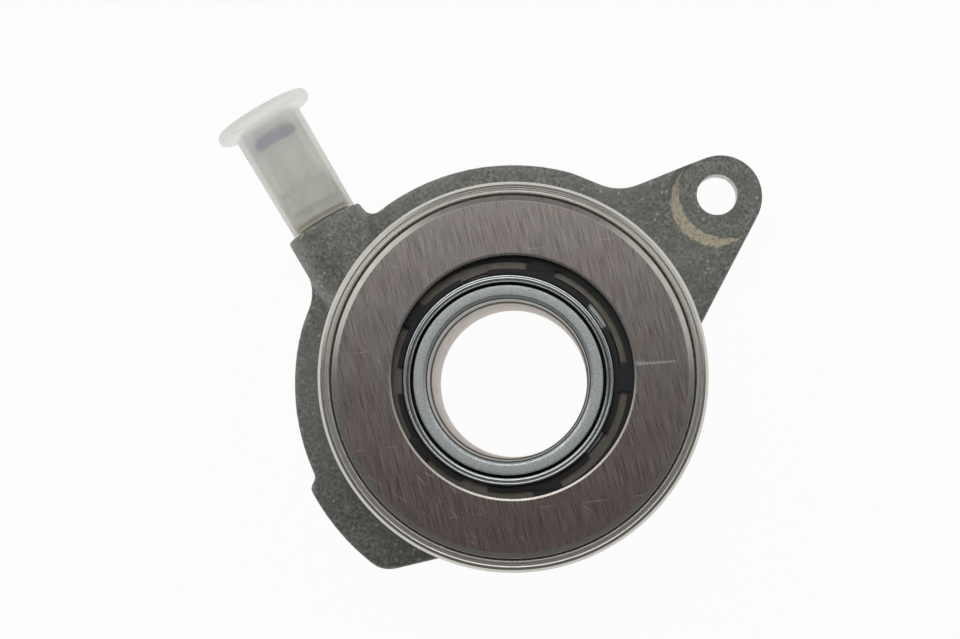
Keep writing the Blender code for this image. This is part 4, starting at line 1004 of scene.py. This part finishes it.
class MakeCasting(bpy.types.Operator):
    """Make the die-cast housing: a cast blank with soft edges, then its machined cuts"""

    bl_idname = "release_unit.casting"
    bl_label = "Housing casting"

    def execute(self, context):
        boss_end = measured("port_washer", INLET).low - WASHER_BED
        self.machine(self.cast_blank(boss_end), boss_end)
        return {"FINISHED"}

    def outline(self, boss_end):
        ear = on_circle(BOLT_DISTANCE, BOLT_ANGLE) + EAR_SHIFT
        right = EAR_RIGHT_SIDE - math.pi / 2
        upper = EAR_UPPER_SIDE + math.pi / 2
        (port_right, port_right_end), (port_left, port_left_end) = self.port_corners(boss_end)
        corner_centre = on_circle(LOBE_R - LOBE_CORNER_R, LOBE_END)
        lean = math.asin((BODY_R - LOBE_CORNER_R) / corner_centre.length)
        tangent = LOBE_END + math.pi / 2 - lean
        step_end = LOBE_START + LOBE_STEP
        step_turn = 2 * LOBE_FILLET / FLANGE_R

        def side_corner(facing, side, circle_r):
            """Where a straight side of the ear would meet a circle round the shaft."""
            reach = ear.dot(on_circle(1.0, facing)) + EAR_R
            return on_circle(reach, facing) + on_circle(math.sqrt(circle_r ** 2 - reach ** 2), side)

        def angle(point):
            return math.atan2(point.y, point.x) % math.tau

        right_corner = side_corner(right, EAR_RIGHT_SIDE, BODY_R)
        upper_corner = side_corner(upper, EAR_UPPER_SIDE, FLANGE_R)
        rim_start = angle(upper_corner) + EAR_UPPER_FILLET / FLANGE_R
        rim_end = angle(port_right) - 2 * PORT_RIGHT_FILLET / FLANGE_R
        return joined_outline([
            arc(BODY_R, tangent, angle(right_corner) - EAR_RIGHT_FILLET / BODY_R),
            (right_corner, EAR_RIGHT_FILLET),
            arc(EAR_R, right, upper, ear),
            (upper_corner, EAR_UPPER_FILLET),
            arc(FLANGE_R, rim_start, rim_end),
            (port_right, PORT_RIGHT_FILLET),
            [port_right_end, port_left_end],
            (port_left, PORT_LEFT_FILLET),
            arc(FLANGE_R, angle(port_left) + PORT_LEFT_FILLET / FLANGE_R, LOBE_START - step_turn),
            (on_circle(FLANGE_R, LOBE_START), LOBE_FILLET),
            (on_circle(LOBE_R, step_end), LOBE_FILLET),
            arc(LOBE_R, step_end + step_turn, LOBE_END),
            arc(LOBE_CORNER_R, LOBE_END, tangent, corner_centre),
        ])

    def port_corners(self, boss_end):
        """Where the boss's sides leave the flange, and its outer corners, seen from above."""
        out = (INLET.to_3x3() @ Vector((0.0, 0.0, 1.0))).to_2d()
        aside = Vector((-out.y, out.x))
        middle = (SHAFT.inverted() @ INLET.translation).to_2d()
        face = middle.dot(out) + boss_end - PORT_FOOT_SETBACK
        corners = []
        for side in (BOSS_SHIFT - PORT_BOSS_R, BOSS_SHIFT + PORT_BOSS_R):
            beside = middle.dot(aside) + side
            root = aside * beside + out * math.sqrt(FLANGE_R ** 2 - beside ** 2)
            corners.append((root, aside * beside + out * face))
        return corners

    def cast_blank(self, boss_end):
        """The casting before machining, remeshed so that every edge and root is softly round."""
        place = SHAFT @ Matrix.Translation((0.0, 0.0, FLANGE_TOP / 2))
        blank = linked("casting_blank", plate_mesh("casting", [self.outline(boss_end)], FLANGE_TOP), place)
        top = measured("housing", SHAFT).high
        wall = tube("wall", 10.0 * MM, CYLINDER_R, top, 1.0 * MM, SHAFT)
        rib = tube("rib", SPRING_RIB_R, SPRING_RIB_R + SPRING_RIB_WALL, SPRING_RIB_TOP, 5.0 * MM, SHAFT)
        beside = INLET @ Matrix.Translation((BOSS_SHIFT, 0.0, 0.0))
        boss = tube("boss", 0.0, PORT_BOSS_R, boss_end, boss_end - PORT_BOSS_LENGTH, beside)
        clear = tube("clear", 0.0, BOSS_CLEAR_R, 60.0 * MM, FLANGE_TOP - 0.6 * MM, SHAFT)
        combine(boss, [clear])
        combine(blank, [wall, boss], "UNION")
        grid = blank.modifiers.new("Grid", "REMESH")
        grid.mode = "VOXEL"
        grid.voxel_size = CAST_GRID
        soft = blank.modifiers.new("Soft edges", "CORRECTIVE_SMOOTH")
        soft.iterations = 8
        soft.smooth_type = "LENGTH_WEIGHTED"
        soft.use_only_smooth = True
        skin = linked("casting_skin", taken_mesh("casting_skin", blank, wall, boss, clear), place)
        combine(skin, [rib], "UNION")
        return linked("casting_whole", taken_mesh("casting_whole", skin, rib), place)

    def machine(self, blank, boss_end):
        """Cut every bore and seat, and give the cut faces that show their finish."""
        bore = linked("bore", spun_mesh("bore", [
            (0.0, 40.0 * MM), (CHAMBER_R, 40.0 * MM),
            (CHAMBER_R, CHAMBER_FLOOR), (SLEEVE_HOLE_R, CHAMBER_FLOOR),
            (SLEEVE_HOLE_R, SEAL_BED_TOP), (SEAL_BED_R, SEAL_BED_TOP),
            (SEAL_BED_R, FOOT_BED_TOP), (FOOT_BED_R, FOOT_BED_TOP),
            (FOOT_BED_R, -2.0 * MM), (0.0, -2.0 * MM),
        ], WIDE_STEPS), SHAFT)
        port_floor = boss_end - PORT_BORE_DEPTH
        port = tube("port", 0.0, PORT_BORE_R, boss_end + 2.0 * MM, port_floor, INLET, PORT_STEPS)
        trim = tube("trim", 0.0, 12.0 * MM, boss_end + 3.0 * MM, boss_end, INLET, PORT_STEPS)
        ear = SHAFT @ Matrix.Translation((*on_circle(BOLT_DISTANCE, BOLT_ANGLE), 0.0))
        hole = tube("hole", 0.0, BOLT_HOLE_R, 12.0 * MM, -1.0 * MM, ear)
        seat_end = 2 * FLANGE_TOP - EAR_SEAT_TOP
        seat_r = EAR_R + EAR_SEAT_MARGIN
        seat = linked("seat", spun_mesh("seat", [
            (0.0, seat_end), (seat_r + 2 * EAR_SEAT_RUN, seat_end),
            (seat_r, EAR_SEAT_TOP), (0.0, EAR_SEAT_TOP),
        ], TOOL_STEPS), ear @ Matrix.Translation((*EAR_SHIFT, 0.0)))
        tools = [bore, port, trim, hole, seat]
        combine(blank, tools)
        place = blank.matrix_world.copy()
        mesh = taken_mesh("housing_casting", blank, *tools)
        piece = finished_piece(
            "housing_casting", mesh, place, "casting", "housing", "housing"
        )
        self.mark_machined(piece, ear)

    def mark_machined(self, piece, ear):
        """Give the bores and the mounting face the machined finish."""
        piece.data.materials.append(LOOKS["machined"])
        to_shaft = SHAFT.inverted() @ piece.matrix_world
        to_ear = ear.inverted() @ piece.matrix_world
        for face in piece.data.polygons:
            at = to_shaft @ face.center
            near_ear = to_ear @ face.center
            bore = math.hypot(at.x, at.y) < CHAMBER_R + 0.1 * MM
            mounting = face.normal.z < -0.95 and at.z < 0.1 * MM
            hole = math.hypot(near_ear.x, near_ear.y) < BOLT_HOLE_R + 0.05 * MM
            if bore or mounting or hole:
                face.material_index = 1


class MakeInlet(bpy.types.Operator):
    """Make the inlet fitting, its washer and its O-ring"""

    bl_idname = "release_unit.inlet"
    bl_label = "Inlet fitting"

    def execute(self, context):
        washer = measured("port_washer", INLET)
        seal = measured("fitting_o_ring", INLET)
        section = (seal.high - seal.low) / 2
        mean_r = seal.outer - section - SEAL_INSET
        middle = (seal.high + seal.low) / 2
        self.fitting(washer, middle)
        turned(
            "sealing_washer", ring(washer.bore, washer.outer, washer.high, washer.low, 0.15 * MM, 0.3 * MM),
            INLET, "washer", "housing", "port_washer", TOOL_STEPS,
        )
        turned(
            "inlet_seal_ring", round_section((mean_r, middle), section, 0.0, -15.0, 24),
            INLET, "blue_rubber", "housing", "fitting_o_ring", TOOL_STEPS,
        )
        return {"FINISHED"}

    def fitting(self, washer, middle):
        size = measured("inlet_fitting", INLET)
        flange = washer.high + 0.3 * MM
        neck = flange + 1.3 * MM
        collar = neck + 1.0 * MM
        band = collar + 3.4 * MM
        spigot = band + 1.4 * MM
        edge, small = 0.2 * MM, 0.1 * MM
        turned("inlet_spigot", [
            (size.bore, size.high, 0.4 * MM),
            (SPIGOT_R, size.high, 0.5 * MM),
            (SPIGOT_R, middle + SEAL_GROOVE_HALF, small),
            (SEAL_GROOVE_R, middle + SEAL_GROOVE_HALF, small),
            (SEAL_GROOVE_R, middle - SEAL_GROOVE_HALF, small),
            (SPIGOT_R, middle - SEAL_GROOVE_HALF, small),
            (SPIGOT_R, spigot + 1.2 * MM, 0.6 * MM),
            (size.outer, spigot, edge),
            (FITTING_BAND_R, spigot - 0.1 * MM, small),
            (FITTING_BAND_R, band, small),
            (size.outer, band, edge),
            (size.outer, collar, edge),
            (FITTING_NECK_R, collar, small),
            (FITTING_NECK_R, neck, small),
            (size.outer, neck, edge),
            (size.outer, flange, edge),
            (FITTING_STEM_R, flange, small),
            (FITTING_STEM_R, size.low, edge),
            (size.bore, size.low, edge),
        ], INLET, "fitting", "housing", "inlet_fitting", TOOL_STEPS)


class MakeTransportCap(bpy.types.Operator):
    """Make the milky cap that closes the inlet while the unit is in transit"""

    bl_idname = "release_unit.transport_cap"
    bl_label = "Transport cap"

    def execute(self, context):
        size = measured("transport_cap", INLET)
        tube_r = CAP_BORE_R + CAP_WALL
        high = size.high - CAP_DISC_SETBACK
        low = high - CAP_DISC_THICKNESS
        dish = high - CAP_DISH_DEPTH
        inside = high - CAP_FLOOR_DEPTH
        mesh = spun_mesh("milky_cap", softened([
            (0.0, dish, 0.0),
            (CAP_DISH_R - 0.6 * MM, dish, 0.4 * MM),
            (CAP_DISH_R, high, 0.3 * MM),
            (CAP_DISC_R, high, 1.2 * MM),
            (CAP_DISC_R, low, 1.2 * MM),
            (tube_r + 0.3 * MM, low, 0.9 * MM),
            (tube_r, size.low, 0.25 * MM),
            (CAP_BORE_R, size.low, 0.25 * MM),
            (CAP_BORE_R - 0.1 * MM, inside, 0.6 * MM),
            (0.0, inside, 0.0),
        ]), WIDE_STEPS)
        mesh.transform(INLET.to_3x3().to_4x4())
        place = Matrix.Translation(INLET.translation)
        finished_piece("milky_cap", mesh, place, "cap", "cap", "transport_cap")
        return {"FINISHED"}


class DressHydraulics(bpy.types.Operator):
    """Give the piston and its seals, which the frame shows as they are, their finishes"""

    bl_idname = "release_unit.hydraulics"
    bl_label = "Piston and seals"

    def execute(self, context):
        dress("piston", "black_plastic")
        dress("piston_seal", "black_rubber")
        dress("seal_support_ring", "white_plastic")
        return {"FINISHED"}


class MakeStage(bpy.types.Operator):
    """Make the camera, the soft lights and the pale floor"""

    bl_idname = "release_unit.stage"
    bl_label = "Camera, light and floor"

    def execute(self, context):
        scene = context.scene
        scene.view_settings.view_transform = "Standard"
        self.camera(scene)
        self.world(scene)
        power = settings().light_power
        self.light("top_light", 95.0, 68.0, 480.0, power)
        self.light("left_light", 146.0, 42.0, 600.0, power * 0.85)
        self.light("right_light", 32.0, 42.0, 600.0, power * 0.65)
        self.floor()
        return {"FINISHED"}

    def camera(self, scene):
        data = bpy.data.cameras.new("photo_camera")
        data.lens = CAMERA_LENS
        data.sensor_width = SENSOR_WIDTH
        data.sensor_fit = "HORIZONTAL"
        data.clip_start = 10 * MM
        place = SHAFT.translation.to_2d() + CAMERA_BESIDE_SHAFT
        forward = Vector((*AIM_SLOPE, -1.0)).normalized()
        right = forward.cross(Vector((0.0, 1.0, 0.0))).normalized()
        turn = Matrix((right, right.cross(forward), -forward)).transposed().to_4x4()
        scene.camera = linked("photo_camera", data, Matrix.Translation((*place, CAMERA_HEIGHT)) @ turn)

    def world(self, scene):
        scene.world = bpy.data.worlds.new("studio")
        scene.world.use_nodes = True
        tree = scene.world.node_tree
        direction = wire(tree, "ShaderNodeTexCoord").outputs["Generated"]
        height = ranged(tree, split(tree, direction)["Z"], 0.10, 0.50)
        room = feed(tree, tree.nodes["Background"], {
            "Color": blended(tree, height, (0.62, 0.63, 0.64), (0.11, 0.112, 0.115)), "Strength": 1.0
        })
        paper = wire(tree, "ShaderNodeBackground", {"Color": (1.0, 1.0, 1.0, 1.0), "Strength": 1.0})
        whole = mixed(tree, seen_by(tree, "Is Camera Ray", "Is Transmission Ray"), room, paper)
        feed(tree, tree.nodes["World Output"], {"Surface": whole.outputs[0]})

    def light(self, name, azimuth, elevation, size, power):
        """A square soft box aimed at the unit: its direction in degrees and its size in millimetres."""
        data = bpy.data.lights.new(name, "AREA")
        data.size = size * MM
        data.energy = power
        rise = math.radians(elevation)
        out = Vector((*on_circle(math.cos(rise), math.radians(azimuth)), math.sin(rise)))
        turn = out.to_track_quat("Z", "Y").to_matrix().to_4x4()
        linked(name, data, Matrix.Translation(out * LIGHT_DISTANCE + LIGHT_AIM) @ turn)

    def floor(self):
        """A white floor: it looks like lit paper, and still takes the unit's shadow."""
        look = bpy.data.materials.new("white_paper")
        look.use_nodes = True
        tree = look.node_tree
        tree.nodes.remove(tree.nodes["Principled BSDF"])
        paper = wire(tree, "ShaderNodeBsdfDiffuse", {"Color": (0.95, 0.95, 0.95, 1.0)})
        glow = wire(tree, "ShaderNodeEmission", {"Color": (1.0, 1.0, 1.0, 1.0), "Strength": 1.0})
        seen = seen_by(tree, "Is Camera Ray", "Is Glossy Ray", "Is Transmission Ray")
        whole = mixed(tree, maths(tree, "MULTIPLY", seen, FLOOR_GLOW), paper, glow)
        feed(tree, tree.nodes["Material Output"], {"Surface": whole.outputs[0]})
        mesh = bpy.data.meshes.new("floor")
        corners = [(x * FLOOR_REACH, y * FLOOR_REACH, 0.0) for x, y in ((-1, -1), (1, -1), (1, 1), (-1, 1))]
        mesh.from_pydata(corners, [], [(0, 1, 2, 3)])
        mesh.materials.append(look)
        linked("floor", mesh, Matrix.Translation((0.0, 0.0, -FLOOR_DROP)))


PIECE_OPERATORS = (
    MakeGuideSleeve, MakeCentringRings, MakeBearing, MakeSpringGroup, MakeCasting,
    MakeInlet, MakeTransportCap, DressHydraulics, MakeStage,
)


class ReleaseUnitPanel(bpy.types.Panel):
    """Buttons for the pieces, and the sizes and colours they take"""

    bl_idname = "VIEW3D_PT_release_unit"
    bl_label = "Slave cylinder"
    bl_space_type = "VIEW_3D"
    bl_region_type = "UI"
    bl_category = "Slave cylinder"

    def draw(self, context):
        column = self.layout.column()
        chosen = context.scene.release_unit
        for name in ReleaseUnitSettings.__annotations__:
            column.prop(chosen, name)
        for operator in PIECE_OPERATORS:
            column.operator(operator.bl_idname)


CLASSES = (ReleaseUnitSettings, *PIECE_OPERATORS, ReleaseUnitPanel)


def register():
    for item in CLASSES:
        bpy.utils.register_class(item)
    bpy.types.Scene.release_unit = PointerProperty(type=ReleaseUnitSettings)


def unregister():
    del bpy.types.Scene.release_unit
    for item in reversed(CLASSES):
        bpy.utils.unregister_class(item)


def main():
    register()
    make_looks()
    for operator in PIECE_OPERATORS:
        group, name = operator.bl_idname.split(".")
        getattr(getattr(bpy.ops, group), name)()


if __name__ == "__main__":
    main()
